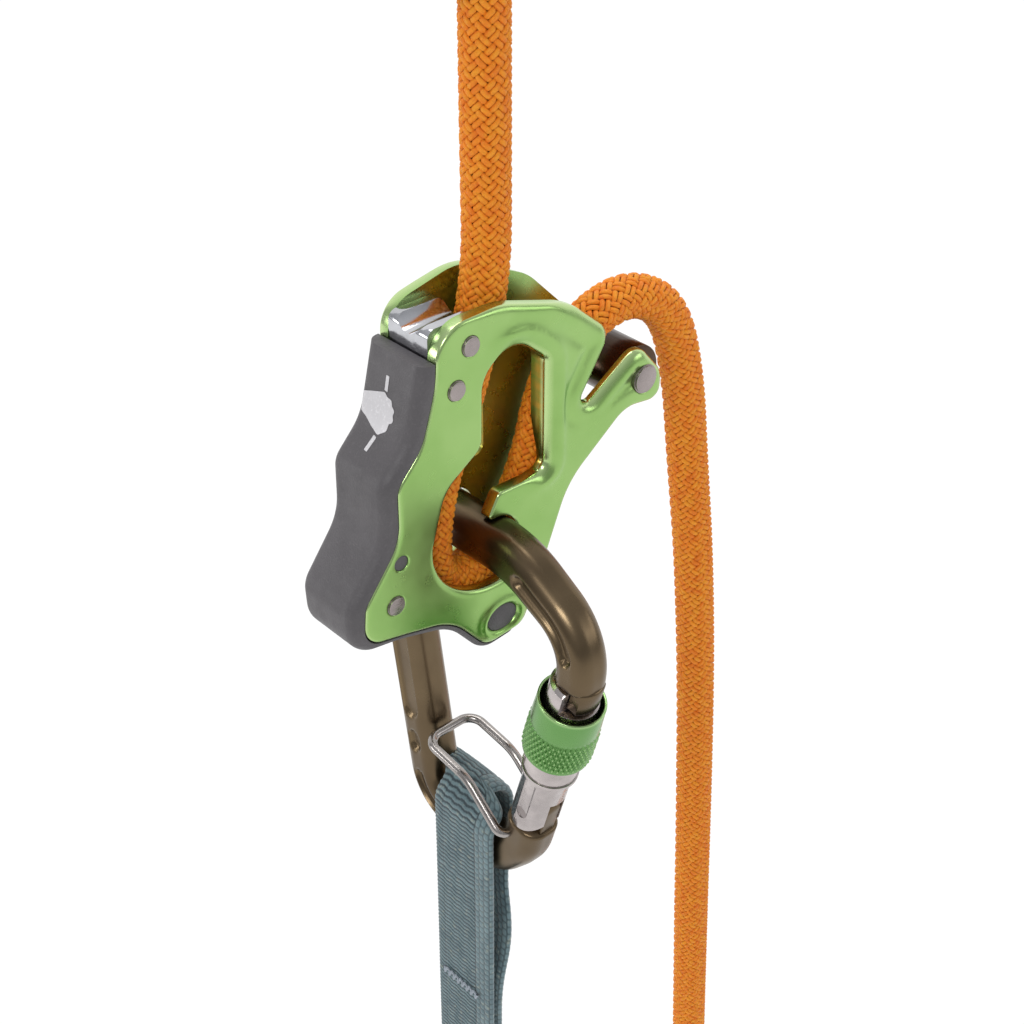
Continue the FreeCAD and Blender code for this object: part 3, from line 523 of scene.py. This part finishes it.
def outward(outline):
    """Unit normals of a closed outline that point away from what it encloses."""
    d = np.roll(outline, -1, axis=0) - np.roll(outline, 1, axis=0)
    normals = np.stack([d[:, 1], -d[:, 0]], axis=1) / np.linalg.norm(d, axis=1)[:, None]
    x, y = outline.T
    area = (x * np.roll(y, -1) - np.roll(x, -1) * y).sum()
    return normals if area > 0 else -normals


def filled(outer, holes, rings, spacing):
    """Points and triangles over an outline with holes, with rows of points near every edge."""
    contours = [outer] + holes
    points = [np.concatenate(contours)]
    for contour in contours:
        inward = -outward(contour) if contour is outer else outward(contour)
        for ring in rings:
            row = contour + inward * ring
            close = np.min([away(row, c) for c in contours], axis=0)
            keep = (close > 0.9 * ring) & within(row, outer)
            keep &= ~np.any([within(row, h) for h in holes], axis=0)
            points.append(row[keep])
    low, high = outer.min(0), outer.max(0)
    xs, zs = (np.arange(low[k], high[k], spacing) for k in (0, 1))
    grid = np.stack(np.meshgrid(xs, zs), axis=2)
    grid[::2, :, 0] += spacing / 2
    grid = grid.reshape(-1, 2)
    grid = grid[within(grid, outer)]
    grid = grid[np.min([away(grid, c) for c in contours], axis=0) > rings[-1] + spacing * 0.4]
    points.append(grid)
    edges, first = [], 0
    for contour in contours:
        count = len(contour)
        edges += [(first + i, first + (i + 1) % count) for i in range(count)]
        first += count
    flat = [Vector(p) for p in np.concatenate(points)]
    coords, _, faces, *_ = delaunay_2d_cdt(flat, edges, [], 0, 1e-6)
    coords = np.array([tuple(c) for c in coords])
    faces = np.array(faces)
    middles = coords[faces].mean(1)
    keep = within(middles, outer) & ~np.any([within(middles, h) for h in holes], axis=0)
    faces = faces[keep]
    used, faces = np.unique(faces, return_inverse=True)
    return coords[used], faces.reshape(-1, 3)


def rise(x, low, high):
    t = np.clip((x - low) / (high - low), 0, 1)
    return t * t * (3 - 2 * t)


def rolled(distance, width, depth):
    """How far a rounded edge of that width and depth lies below its face."""
    t = np.clip(1 - distance / width, 0, 1)
    return depth * (1 - np.sqrt(np.maximum(1 - t * t, 0)))


def finish_mesh(obj, sharp=45):
    """Consistent normals, with edges above that angle kept sharp."""
    work = bmesh.new()
    work.from_mesh(obj.data)
    bmesh.ops.recalc_face_normals(work, faces=work.faces)
    work.to_mesh(obj.data)
    work.free()
    obj.data.shade_smooth()
    obj.data.set_sharp_from_angle(angle=math.radians(sharp))


# ================================================================ side plates
def side_plate(name, side, body, node, top, slot):
    """A forged plate: rolled edges round the horn, notch and window, a raised lip beside the
    window, and a raised ring round the grip's boss."""
    outer = rounded(top + PLATE_EDGE, 0.5)
    window = rounded(slot + WINDOW_SEAT, 0.5)
    boss = oval(BOSS_AT, 3.9, 3.0)
    small = [oval(p, 2.05, 2.05, 36) for p in RIVETS]
    small += [oval(PEG, 1.65, 1.65, 32), oval(ARM_PIN, 3.2, 3.2, 44)]
    coords, faces = filled(outer, [window, boss] + small,
                           (0.05, 0.18, 0.4, 0.7, 1.1, 1.6, 2.2, 2.9, 3.7), 0.85)
    x, z = coords.T
    edge, gap, ring = away(coords, outer), away(coords, window), away(coords, boss)
    holes = np.min([away(coords, s) for s in small], axis=0)
    horn = rise(x, 1, 8) * rise(z, 20, 25)
    crown = rise(z, 47, 53) * rise(x, -20, -8)
    slope = rise(x + 0.25 * (z - 45), -14, -7) * rise(z, 8, 13)
    heel = rise(-z, -9, 2)
    drop = rolled(edge, 0.9 + 2.4 * horn + 0.9 * crown, 0.6 + 1.35 * horn + 0.5 * crown)
    drop = np.maximum(drop, rolled(gap, 0.8 + 2.2 * slope + 0.6 * heel,
                                   0.5 + 1.5 * slope + 0.5 * heel))
    drop = np.maximum(drop, rolled(holes, 0.28, 0.22))
    drop = np.maximum(drop, rolled(ring, 0.9, 0.6))
    lift = 0.55 * slope * np.exp(-((gap - 3.4) / 1.2) ** 2)
    lift += 0.6 * np.exp(-((ring - 1.4) / 0.9) ** 2) * rise(edge, 0.2, 1.6)
    lift -= 0.7 * horn * np.exp(-((edge - 5.2) / 1.6) ** 2) * rise(gap, 2.5, 5.5)
    outer_y = side * (OUTER_FACE - drop + lift)
    front = np.stack([x, outer_y, z], axis=1)
    back = np.stack([x, np.full(len(x), side * INNER_FACE), z], axis=1)
    verts = np.concatenate([front, back])
    count = len(coords)
    every = list(map(tuple, faces)) + [(c + count, b + count, a + count) for a, b, c in faces]
    used = {}
    for a, b, c in faces:
        for p, q in ((a, b), (b, c), (c, a)):
            used[(p, q)] = used.get((p, q), 0) + 1
    rims = [pair for pair in used if pair[::-1] not in used]
    every += [(p, q, q + count, p + count) for p, q in rims]
    metres = np.array([at(*v) for v in verts])
    obj = add(name, metres, every, body, GREEN, stands_for=(node,))
    # Painted highlight: paler rims along the plate's outline and window, wider round the horn and
    # beside the window.
    shine = np.maximum(np.clip(1 - edge / (0.5 + 1.1 * horn), 0, 1),
                       np.clip(1 - gap / (0.5 + 1.0 * slope), 0, 1)) * 0.8
    set_value(obj, "polish_and_highlight", np.concatenate([shine, np.full(count, 0.1)]))
    # The window's walls take the gold-brown channel tone: partly rope wear, partly a painted
    # reflection of the orange rope.
    channel = (gap < 0.01) * slope
    set_value(obj, "rope_wear_and_reflection", np.concatenate([channel * 0.5, (gap < 0.01) * 1.0]))
    finish_mesh(obj)
    return obj


def window_lip(name, side, slot):
    """The flange that deepens the window's long straight edge, turned in between the plates."""
    window = rounded(slot + WINDOW_SEAT, 0.4)
    normals = outward(window)
    near = (window[:, 0] > -6) & (window[:, 1] > 12)
    order = np.flatnonzero(near)
    order = order[np.argsort(np.arctan2(window[order, 1] - 30, window[order, 0] + 20))]
    verts, rope_wear_and_reflection = [], []
    for i in order:
        (x, z), (nx, nz) = window[i], normals[i]
        ease = float(rise(x, -5.5, -0.5))
        deep = INNER_FACE + 0.05 - (0.9 + 1.9 * float(rise(z, 15, 26))) * ease
        for out, y in ((0.02, INNER_FACE + 0.2), (0.02, deep + 0.35), (0.25, deep + 0.08),
                       (0.6, deep), (1.0, deep + 0.08), (1.3, deep + 0.35),
                       (1.4, INNER_FACE + 0.2)):
            verts.append(at(x + nx * out, side * y, z + nz * out))
            rope_wear_and_reflection.append(1.0)
    obj = add(name, verts, grid_faces(len(order), 7, wrap_columns=False), "frame",
              GREEN)
    set_value(obj, "polish_and_highlight", np.zeros(len(verts)))
    # The whole lip takes that gold-brown tone too: partly wear, partly a painted reflection of the
    # orange rope.
    set_value(obj, "rope_wear_and_reflection", rope_wear_and_reflection)
    finish_mesh(obj)


side_plate("front_plate", -1, "frame", "front_side_plate", FRONT_TOP, FRONT_SLOT)
side_plate("rear_plate", 1, "frame", "rear_side_plate", REAR_TOP, REAR_SLOT)
window_lip("front_window_lip", -1, FRONT_SLOT)


# ================================================================ small parts of the device
def soften(node, material, width=0.3, angle=35, segments=3):
    """A CAD node shown with its edges broken by a small bevel."""
    obj = NODES[node]
    obj.data.materials.clear()
    obj.data.materials.append(material)
    weld = obj.modifiers.new("weld", "WELD")
    weld.merge_threshold = 0.000004
    bevel = obj.modifiers.new("edges", "BEVEL")
    bevel.width = width / 1000
    bevel.segments = segments
    bevel.angle_limit = math.radians(angle)
    bevel.harden_normals = True
    bevel.use_clamp_overlap = True
    obj.data.shade_smooth()
    return obj


soften("friction_insert", INSERT, 0.7, 30, 4)
soften("handle_grip", GRIP, 0.35, 30)
soften("frame_rivets", RIVET, 0.16)
soften("arm_pin", RIVET, 0.2)
soften("arm_spacer", SPACER, 0.3)


def grip_sign():
    """A pale printed sign on the grip: a plain mitten closed round a slanting line."""
    mitten = [(-5.7, 1.9, 0.3), (-2.6, 3.0, 3.0), (0.1, 3.85, 0.5), (1.2, 4.2, 0.6),
              (2.1, 3.5, 0.2), (3.3, 3.4, 0.6), (3.8, 2.3, 0.2), (4.6, 1.7, 0.5), (4.3, 0.7, 0.2),
              (4.7, -0.5, 0.6), (3.7, -1.1, 0.2), (3.6, -2.5, 0.8), (1.8, -3.7, 0.7),
              (-0.7, -2.9, 2.0), (-2.9, -1.9, 2.0), (-4.7, -1.4, 0.3)]
    above = [(0.9, 7.4, 0.1), (1.8, 7.4, 0.1), (1.9, 4.4, 0.1), (1.0, 4.5, 0.1)]
    below = [(1.0, -3.9, 0.1), (1.9, -4.1, 0.1), (1.5, -6.5, 0.1), (0.6, -6.4, 0.1)]
    grip = NODES["handle_grip"]
    tree = BVHTree.FromObject(grip, bpy.context.evaluated_depsgraph_get())
    to_grip = grip.matrix_world.inverted()
    turn = to_grip.to_3x3()
    verts, faces = [], []
    for corners in (mitten, above, below):
        flat, triangles = filled(rounded(corners, 0.25), [], (0.05, 0.3), 0.5)
        faces += [tuple(i + len(verts) for i in t) for t in triangles]
        for u, v in flat:
            start = at(-70.0, 1.9 - u, 36.7 + v)
            hit = tree.ray_cast(to_grip @ start, turn @ Vector((1, 0, 0)))[0]
            verts.append(grip.matrix_world @ hit - Vector((0.00008, 0, 0)))
    add("grip_sign", verts, faces, "frame", PALE)


grip_sign()


# ================================================================ carabiner
CARABINER_ROUTE = [
    (-33.1, -18.2, 0), (-34.3, -7.2, 13.0), (-15.5, 3.0, 26.0), (25.6, 3.0, 15.0),
    (12.6, -76.4, 9.5), (-9.0, -81.4, 9.5), (-17.7, -71.7, 12.0), (-19.9, -63.7, 0),
]
BAR_OUT, BAR_SIDE = 5.2, 4.8        # half the bar's section, outwards and sideways
TILT = math.radians(15.6)           # how far the gate leans
RIM = (-31.1, -23.6)                # where the sleeve's rim crosses the gate's axis


def gate_at(along, outwards=0.0, across=0.0):
    """A place given up the gate's axis from the sleeve's rim, outwards, and across."""
    return at(SEAT + across,
              RIM[0] - math.sin(TILT) * along - math.cos(TILT) * outwards,
              RIM[1] + math.cos(TILT) * along - math.sin(TILT) * outwards)


def carabiner_bar():
    """The forged bar along its route, with lightening grooves in both flanks."""
    path = rounded(CARABINER_ROUTE, 0.55, closed=False)
    tangents = np.gradient(path, axis=0)
    tangents /= np.linalg.norm(tangents, axis=1)[:, None]
    normals = np.stack([tangents[:, 1], -tangents[:, 0]], axis=1)
    normals *= -1 if (normals[len(path) // 2] @ (path[len(path) // 2] - [0, -40])) < 0 else 1
    steps = np.linalg.norm(np.diff(path, axis=0), axis=1)
    along = np.concatenate([[0], np.cumsum(steps)])
    section = rounded([(BAR_OUT, BAR_SIDE, 3.9), (-BAR_OUT, BAR_SIDE, 3.9),
                       (-BAR_OUT, -BAR_SIDE, 3.9), (BAR_OUT, -BAR_SIDE, 3.9)], 0.38)

    def place_of(point):
        return along[np.argmin(np.linalg.norm(path - point, axis=1))]

    grooves = [  # from, to, sideways, half-width, depth
        ((-34.6, -11.5), (-18.5, 2.2), 0.2, 1.7, 1.5),
        ((19.9, -31.0), (15.9, -55.5), 0.0, 2.5, 1.0),
        ((15.3, -59.5), (14.4, -64.5), 0.3, 1.9, 1.2),
        ((13.6, -70.0), (4.0, -78.4), 0.6, 1.7, 1.2),
    ]
    verts, shine = [], []
    total = along[-1]
    for (y, z), (ny, nz), s in zip(path, normals, along):
        tip = float(rise(34.0 - s, 0, 30))
        foot = float(rise(s - total + 7.0, 0, 7))
        end = min(1.0, min(s, total - s) / 0.7)
        shrink = 1 - 0.09 * (1 - math.sqrt(1 - (1 - end) ** 2))
        deep = (BAR_OUT - 0.6 * tip) / BAR_OUT * shrink
        wide = (BAR_SIDE - 0.3 * tip + 0.15 * foot) / BAR_SIDE * shrink
        out, across = section[:, 0] * deep, section[:, 1] * wide
        cut = np.zeros(len(section))
        for first, last, sideways, half, depth in grooves:
            s0, s1 = place_of(first), place_of(last)
            beyond = max(s0 + half - s, 0, s - s1 + half)
            gap = np.hypot(beyond, out - sideways) - half
            cut = np.maximum(cut, depth * rise(-gap, -0.35, 0.75))
        floor = BAR_SIDE - cut
        across = np.sign(across) * np.where(cut > 0.01, np.minimum(np.abs(across), floor),
                                            np.abs(across))
        for o, a, c in zip(out, across, cut):
            verts.append(at(SEAT + a, y + ny * o, z + nz * o))
            # Painted highlight along the grooves' edges.
            shine.append(0.25 * float(rise(c, 0.05, 0.3) * rise(0.8 - c, 0, 0.4)))
    columns = len(section)
    faces = grid_faces(len(path), columns)
    faces += [tuple(range(columns)), tuple(range(len(verts) - columns, len(verts)))]
    obj = add("carabiner_bar", verts, faces, "carabiner", BRONZE,
              stands_for=("carabiner_body",))
    set_value(obj, "polish_and_highlight", shine)
    finish_mesh(obj, 60)


def pressed(name, profile, put, low, high, bevel, body, material):
    """A flat outline made solid from low to high with rounded edges; put(a, b, c) places it."""
    inward = -outward(profile)
    levels = [(low, bevel), (low + 0.3 * bevel, 0.3 * bevel), (low + bevel, 0.0),
              (high - bevel, 0.0), (high - 0.3 * bevel, 0.3 * bevel), (high, bevel)]
    verts = [put(*(p + n * inset), level) for level, inset in levels
             for p, n in zip(profile, inward)]
    columns = len(profile)
    faces = grid_faces(len(levels), columns)
    faces += [tuple(range(columns)), tuple(range(len(verts) - columns, len(verts)))]
    obj = add(name, verts, faces, body, material)
    set_value(obj, "polish_and_highlight", np.zeros(len(verts)))
    finish_mesh(obj, 50)
    return obj


def carabiner_ends():
    """The nose's claw outside the gate's head, and the tongue that carries the gate."""
    angles = np.linspace(-0.70, 0.70, 22)
    claw = [(5.4 * math.cos(a), 5.4 * math.sin(a)) for a in angles]
    claw += [(1.7, 3.5), (1.7, -3.5)]
    claw = rounded([(a, b, 0) for a, b in claw], 0.6)
    pressed("carabiner_claw", claw, lambda o, c, h: gate_at(h, o, c), 0.9, 7.5, 0.7,
            "carabiner", BRONZE)
    tongue = rounded([(-45.0, -4.4, 1.0), (-45.0, 4.4, 1.0), (-31.5, 4.6, 3.0),
                      (-31.5, -4.6, 3.0)], 0.4)
    pressed("carabiner_tongue", tongue, lambda h, o, c: gate_at(h, o, c), -2.05, 2.05, 0.35,
            "carabiner", BRONZE)


carabiner_bar()
carabiner_ends()


# ================================================================ gate, sleeve and keeper
def screw_sleeve():
    """Locking sleeve: a thin rim, a plain band, and a diamond knurl with a chamfered foot."""
    around, knurls, pitch = 504, 42, 2.3
    outer = [(6.75, 0.0, 0), (6.95, 0.06, 0), (7.14, 0.0, 0), (7.22, -0.2, 0), (7.2, -0.9, 0),
             (7.22, -1.1, 0), (7.38, -6.3, 0), (7.36, -6.5, 0), (7.3, -6.7, 0)]
    start, stop = -6.9, -16.0
    rows = 92
    outer += [(7.42, start + (stop - start) * k / rows, 1) for k in range(rows + 1)]
    outer += [(7.3, -16.15, 0), (6.9, -16.7, 0), (6.5, -17.0, 0), (6.3, -17.1, 0),
              (6.0, -17.05, 0), (5.95, -16.9, 0), (5.95, -13.6, 0), (6.6, -12.5, 0),
              (6.6, -0.25, 0), (6.66, -0.05, 0)]
    angles = np.linspace(0, 2 * np.pi, around, endpoint=False)
    verts, shine = [], []
    for radius, h, cut in outer:
        r = np.full(around, radius)
        if cut:
            fade = float(rise(start - h, 0, 0.5) * rise(h - stop, 0, 0.9))
            u = angles * knurls / (2 * np.pi) + h / pitch
            v = angles * knurls / (2 * np.pi) - h / pitch
            ridge = np.minimum(1 - np.abs(2 * (u % 1) - 1), 1 - np.abs(2 * (v % 1) - 1))
            r = r - 0.12 + fade * (0.5 * np.minimum(ridge * 1.35, 1.0) - 0.16)
        for a, rr in zip(angles, r):
            verts.append(gate_at(h, rr * math.cos(a), rr * math.sin(a)))
        # Painted highlight on the knurl's crowns and on the rim's top.
        shine += list(np.clip((r - 7.55) * 5, 0, 1)) if cut else [0.5 if h > -0.3 else 0.0] * around
    obj = add("locking_sleeve", verts, grid_faces(len(outer), around, wrap_rows=True), "sleeve",
              SLEEVE_GREEN, stands_for=("screw_sleeve",))
    set_value(obj, "polish_and_highlight", shine)
    finish_mesh(obj, 70)


screw_sleeve()
soften("gate_barrel", GATE, 0.28, 30)
soften("gate_pin", RIVET, 0.2)
soften("gate_spring", WIRE, 0.1)
soften("gate_plunger", WIRE, 0.2)
soften("sleeve_ring", WIRE, 0.1)
soften("keeper_wire", WIRE, 0.02, 60, 1)


# ================================================================ sling
def sling():
    """Webbing tape as one closed band: its ribs and its chained selvage are in the mesh."""
    half, thick = 9.7, 1.7
    rib_pitch, chain_pitch = 1.25, 1.75
    path = [(-18.7, -90.0, 0), (-18.7, -66.2, 6.2), (-6.0, -66.2, 6.2), (-6.0, -84.0, 10.0),
            (-11.4, -104.0, 60.0), (-15.9, -122.0, 60.0), (-16.2, -154.0, 12.0),
            (-12.6, -170.6, 5.4), (-17.6, -176.4, 3.6), (-22.6, -170.6, 5.4), (-19.0, -154.0, 12.0),
            (-18.9, -124.0, 80.0)]
    line = rounded(path, 0.24)
    steps = np.linalg.norm(np.diff(np.vstack([line, line[:1]]), axis=0), axis=1)
    along = np.concatenate([[0], np.cumsum(steps)])[:-1]
    normals = outward(line)
    x, z = line.T
    rear = rise(x, -16.5, -9.0) * rise(z, -122, -84) + rise(x, -14.5, -8.0) * rise(z, -84, -70)
    middle = -3.4 + 7.0 * np.clip(rear, 0, 1) * rise(z, -124, -92)
    shares = np.linspace(-1, 1, 66)
    w = shares * half
    verts, uvs, lifts = [], [], []
    for face in (1, -1):
        for i in range(len(line)):
            wobble = 0.12 * np.sin(w * 1.9 + along[i] * 0.13) + 0.05 * np.sin(w * 7.3)
            rib = 0.5 + 0.5 * np.cos(2 * np.pi * (along[i] / rib_pitch + wobble))
            inner = rise(-w, 4.3, 5.0)
            row = 0.5 * np.floor((-w - 4.6) / 1.5)
            chain = np.abs(np.sin(np.pi * (along[i] / chain_pitch + row)))
            ridge = np.abs(np.sin(np.pi * (-w - 4.6) / 1.5)) ** 0.7
            height = (1 - inner) * rib + inner * (0.25 + 0.9 * chain * ridge)
            height = np.where(np.abs(w - 6.4) < 0.22, height * 0.45, height)
            height = np.where(np.abs(w + 4.65) < 0.2, 0.1, height)
            edge = np.sqrt(np.clip(1 - np.abs(shares) ** 14, 0, 1))
            offset = face * (thick / 2 * (0.25 + 0.75 * edge) + 0.28 * height * edge - 0.1)
            curl = 0.25 * (shares ** 2)
            nx, nz = normals[i]
            for k in range(len(w)):
                verts.append(at(x[i] + nx * (offset[k] - curl[k]), middle[i] + w[k],
                                z[i] + nz * (offset[k] - curl[k])))
            uvs.append(np.stack([np.full(len(w), along[i]), w], axis=1))
            lifts.append(height)
    rows, columns = len(line), len(w)
    faces = grid_faces(rows, columns, wrap_columns=False, wrap_rows=True)
    count = rows * columns
    faces += [tuple(i + count for i in f[::-1]) for f in faces]
    for r in range(rows):
        n = (r + 1) % rows
        for c in (0, columns - 1):
            quad = (r * columns + c, n * columns + c, count + n * columns + c,
                    count + r * columns + c)
            faces.append(quad if c == 0 else quad[::-1])
    obj = add("sling_tape", verts, faces, "sling", CLOTH,
              stands_for=("sling_webbing",))
    set_uv(obj, np.concatenate(uvs))
    set_value(obj, "lift", np.concatenate(lifts))
    finish_mesh(obj, 75)
    return obj, along[-1] + steps[-1], 2 * half


def thread(points, radius, sides=6):
    """Points and faces of a thin round thread along a line of points in metres."""
    points = np.array(points, float)
    tangents = np.gradient(points, axis=0)
    tangents /= np.linalg.norm(tangents, axis=1)[:, None]
    verts = []
    for p, t in zip(points, tangents):
        side = np.cross(t, [0.31, 0.52, 0.79])
        side /= np.linalg.norm(side)
        up = np.cross(t, side)
        for k in range(sides):
            a = 2 * math.pi * k / sides
            verts.append(p + (side * math.cos(a) + up * math.sin(a)) * radius / 1000)
    return verts, grid_faces(len(points), sides)


def bar_tacks():
    """Zigzag stitching that holds the sling's plies together."""
    verts, faces = [], []
    for height in (-124.6, -148.6):
        for x in (-20.35, -14.95):
            y = np.linspace(-9.5, 3.0, 260)
            wave = np.abs((y * 1.25) % 2 - 1)
            dip = 0.18 * np.cos(2 * np.pi * y * 1.25)
            line = [at(x + d * (-1 if x < -17 else 1), yy, height + 2.1 * ww - 1.0)
                    for yy, ww, d in zip(y, wave, dip)]
            v, f = thread(line, 0.3)
            faces += [tuple(i + len(verts) for i in q) for q in f]
            verts += v
    return add("sling_stitches", verts, faces, "sling", THREAD,
               stands_for=("sling_bar_tacks",))


tape, tape_length, tape_width = sling()
stitches = bar_tacks()


# ================================================================ rope ends
def rope_eye():
    """The sewn eye at the top, its tail, and the cover over its stitching."""
    left, right = -17.6, -7.2
    eye = [(right, 120.0), (right, 140.0), (right + 1.5, 148.0), (1.5, 158.0),
           (-0.2, 172.5), (-12.4, 179.6), (-24.6, 172.5), (-26.3, 158.0), (left - 1.5, 148.0),
           (left, 140.0), (left, 121.5)]
    line = nurbs_line(eye)
    loop, _ = braid("rope_eye_loop", line, "frame", ("rope_eye", "rope_eye_tail"))
    core = core_tube("rope_eye_core", line, "frame")
    verts, count = [], 72
    levels = [(115.9, 0.1), (116.0, 0.7), (116.5, 1.2), (118.0, 1.35), (120.0, 1.25), (126.0, 1.3),
              (132.0, 1.25), (137.0, 1.35), (139.3, 1.15), (139.9, 0.7), (140.0, 0.1)]
    for height, more in levels:
        radius = ROPE_RADIUS + more
        for k in range(count):
            a = 2 * math.pi * k / count
            shift = 5.2 * math.tanh(3.0 * math.cos(a))
            pinch = 1 - 0.09 * math.exp(-(math.cos(a) * 2.2) ** 2)
            verts.append(at(-12.4 + shift + radius * math.cos(a), radius * pinch * math.sin(a),
                            height))
    faces = grid_faces(len(levels), count)
    faces += [tuple(range(count)), tuple(range(len(verts) - count, len(verts)))]
    cover = add("rope_eye_wrap", verts, faces, "frame", COVER,
                stands_for=("rope_eye_cover",))
    finish_mesh(cover, 60)
    return loop, core, cover


def rope_end():
    """The shrunk sleeve on the brake strand's sealed end."""
    path = resampled(brake_line, 0.0005)
    tail = path[-29:]
    direction = (tail[-1] - tail[-2]) / np.linalg.norm(tail[-1] - tail[-2])
    tail = np.vstack([tail, tail[-1] + direction * 0.0006, tail[-1] + direction * 0.0012])
    _, side, across = rope_frames(tail)
    more = np.full(len(tail), 0.55)
    more[:3] = (0.15, 0.4, 0.52)
    more[-3:] = (0.5, 0.1, -1.2)
    more += 0.06 * np.sin(np.arange(len(tail)) * 1.1)
    angles = np.linspace(0, 2 * np.pi, 48, endpoint=False)
    verts = [p + (s * math.cos(a) + c * math.sin(a)) * (ROPE_RADIUS + m) / 1000
             for p, s, c, m in zip(tail, side, across, more) for a in angles]
    faces = grid_faces(len(tail), 48)
    faces += [tuple(range(len(verts) - 48, len(verts)))]
    cap = add("rope_end_cap", verts, faces, "frame", COVER,
              stands_for=("rope_end_sleeve",))
    finish_mesh(cap, 60)
    return cap


eye_loop, eye_core, eye_wrap = rope_eye()
end_cap = rope_end()


# ================================================================ studio
def studio():
    """A pale floor and backdrop, and soft lights."""
    paper = bpy.data.materials.new("paper")
    paper.use_nodes = True
    tree = paper.node_tree
    shader = next(n for n in tree.nodes if n.type == "BSDF_PRINCIPLED")
    shader.inputs["Base Color"].default_value = (0.02, 0.02, 0.02, 1)
    shader.inputs["Roughness"].default_value = 0.9
    shader.inputs["Emission Color"].default_value = (1, 1, 1, 1)
    shader.inputs["Emission Strength"].default_value = 1.0
    profile = rounded([(-2.5, -0.72, 0), (1.3, -0.72, 0.5), (1.3, 2.2, 0)], 0.05, closed=False)
    turn = math.radians(-42)
    verts = []
    for far, height in profile:
        for side in (-3.0, 3.0):
            x, y = side, far
            verts.append((x * math.cos(turn) - y * math.sin(turn),
                          x * math.sin(turn) + y * math.cos(turn), height))
    mesh = bpy.data.meshes.new("backdrop")
    mesh.from_pydata(verts, [], grid_faces(len(profile), 2, wrap_columns=False))
    mesh.shade_smooth()
    mesh.materials.append(paper)
    backdrop = bpy.data.objects.new("backdrop", mesh)
    scene.collection.objects.link(backdrop)
    target = at(-5, 0, 0)
    for name, place, size, power in (
            ("key", (-0.75, -0.55, 0.75), 0.5, 4.2), ("fill", (0.75, -0.75, 0.25), 0.6, 1.3),
            ("top", (0.1, 0.25, 1.0), 0.7, 3.4), ("rim", (-0.8, 0.6, 0.1), 0.35, 1.4)):
        data = bpy.data.lights.new(name, "AREA")
        data.shape = "RECTANGLE"
        data.size, data.size_y = size, size * 0.6
        data.energy = power
        lamp = bpy.data.objects.new(name, data)
        lamp.location = target + Vector(place)
        lamp.rotation_mode = "QUATERNION"
        lamp.rotation_quaternion = (target - lamp.location).to_track_quat("-Z", "Y")
        scene.collection.objects.link(lamp)
    world = bpy.data.worlds.new("studio")
    world.use_nodes = True
    background = next(n for n in world.node_tree.nodes if n.type == "BACKGROUND")
    nodes, links = world.node_tree.nodes, world.node_tree.links
    place = nodes.new("ShaderNodeTexCoord")
    split = nodes.new("ShaderNodeSeparateXYZ")
    ramp = nodes.new("ShaderNodeValToRGB")
    shift = nodes.new("ShaderNodeMapRange")
    shift.inputs["From Min"].default_value, shift.inputs["From Max"].default_value = -1.0, 1.0
    links.new(place.outputs["Generated"], split.inputs[0])
    links.new(split.outputs["Z"], shift.inputs[0])
    links.new(shift.outputs[0], ramp.inputs[0])
    links.new(ramp.outputs[0], background.inputs["Color"])
    ramp.color_ramp.elements[0].color = (0.10, 0.10, 0.11, 1)
    ramp.color_ramp.elements[1].color = (0.62, 0.63, 0.65, 1)
    scene.world = world
    scene.view_settings.view_transform = "Standard"


studio()
note_bounds()
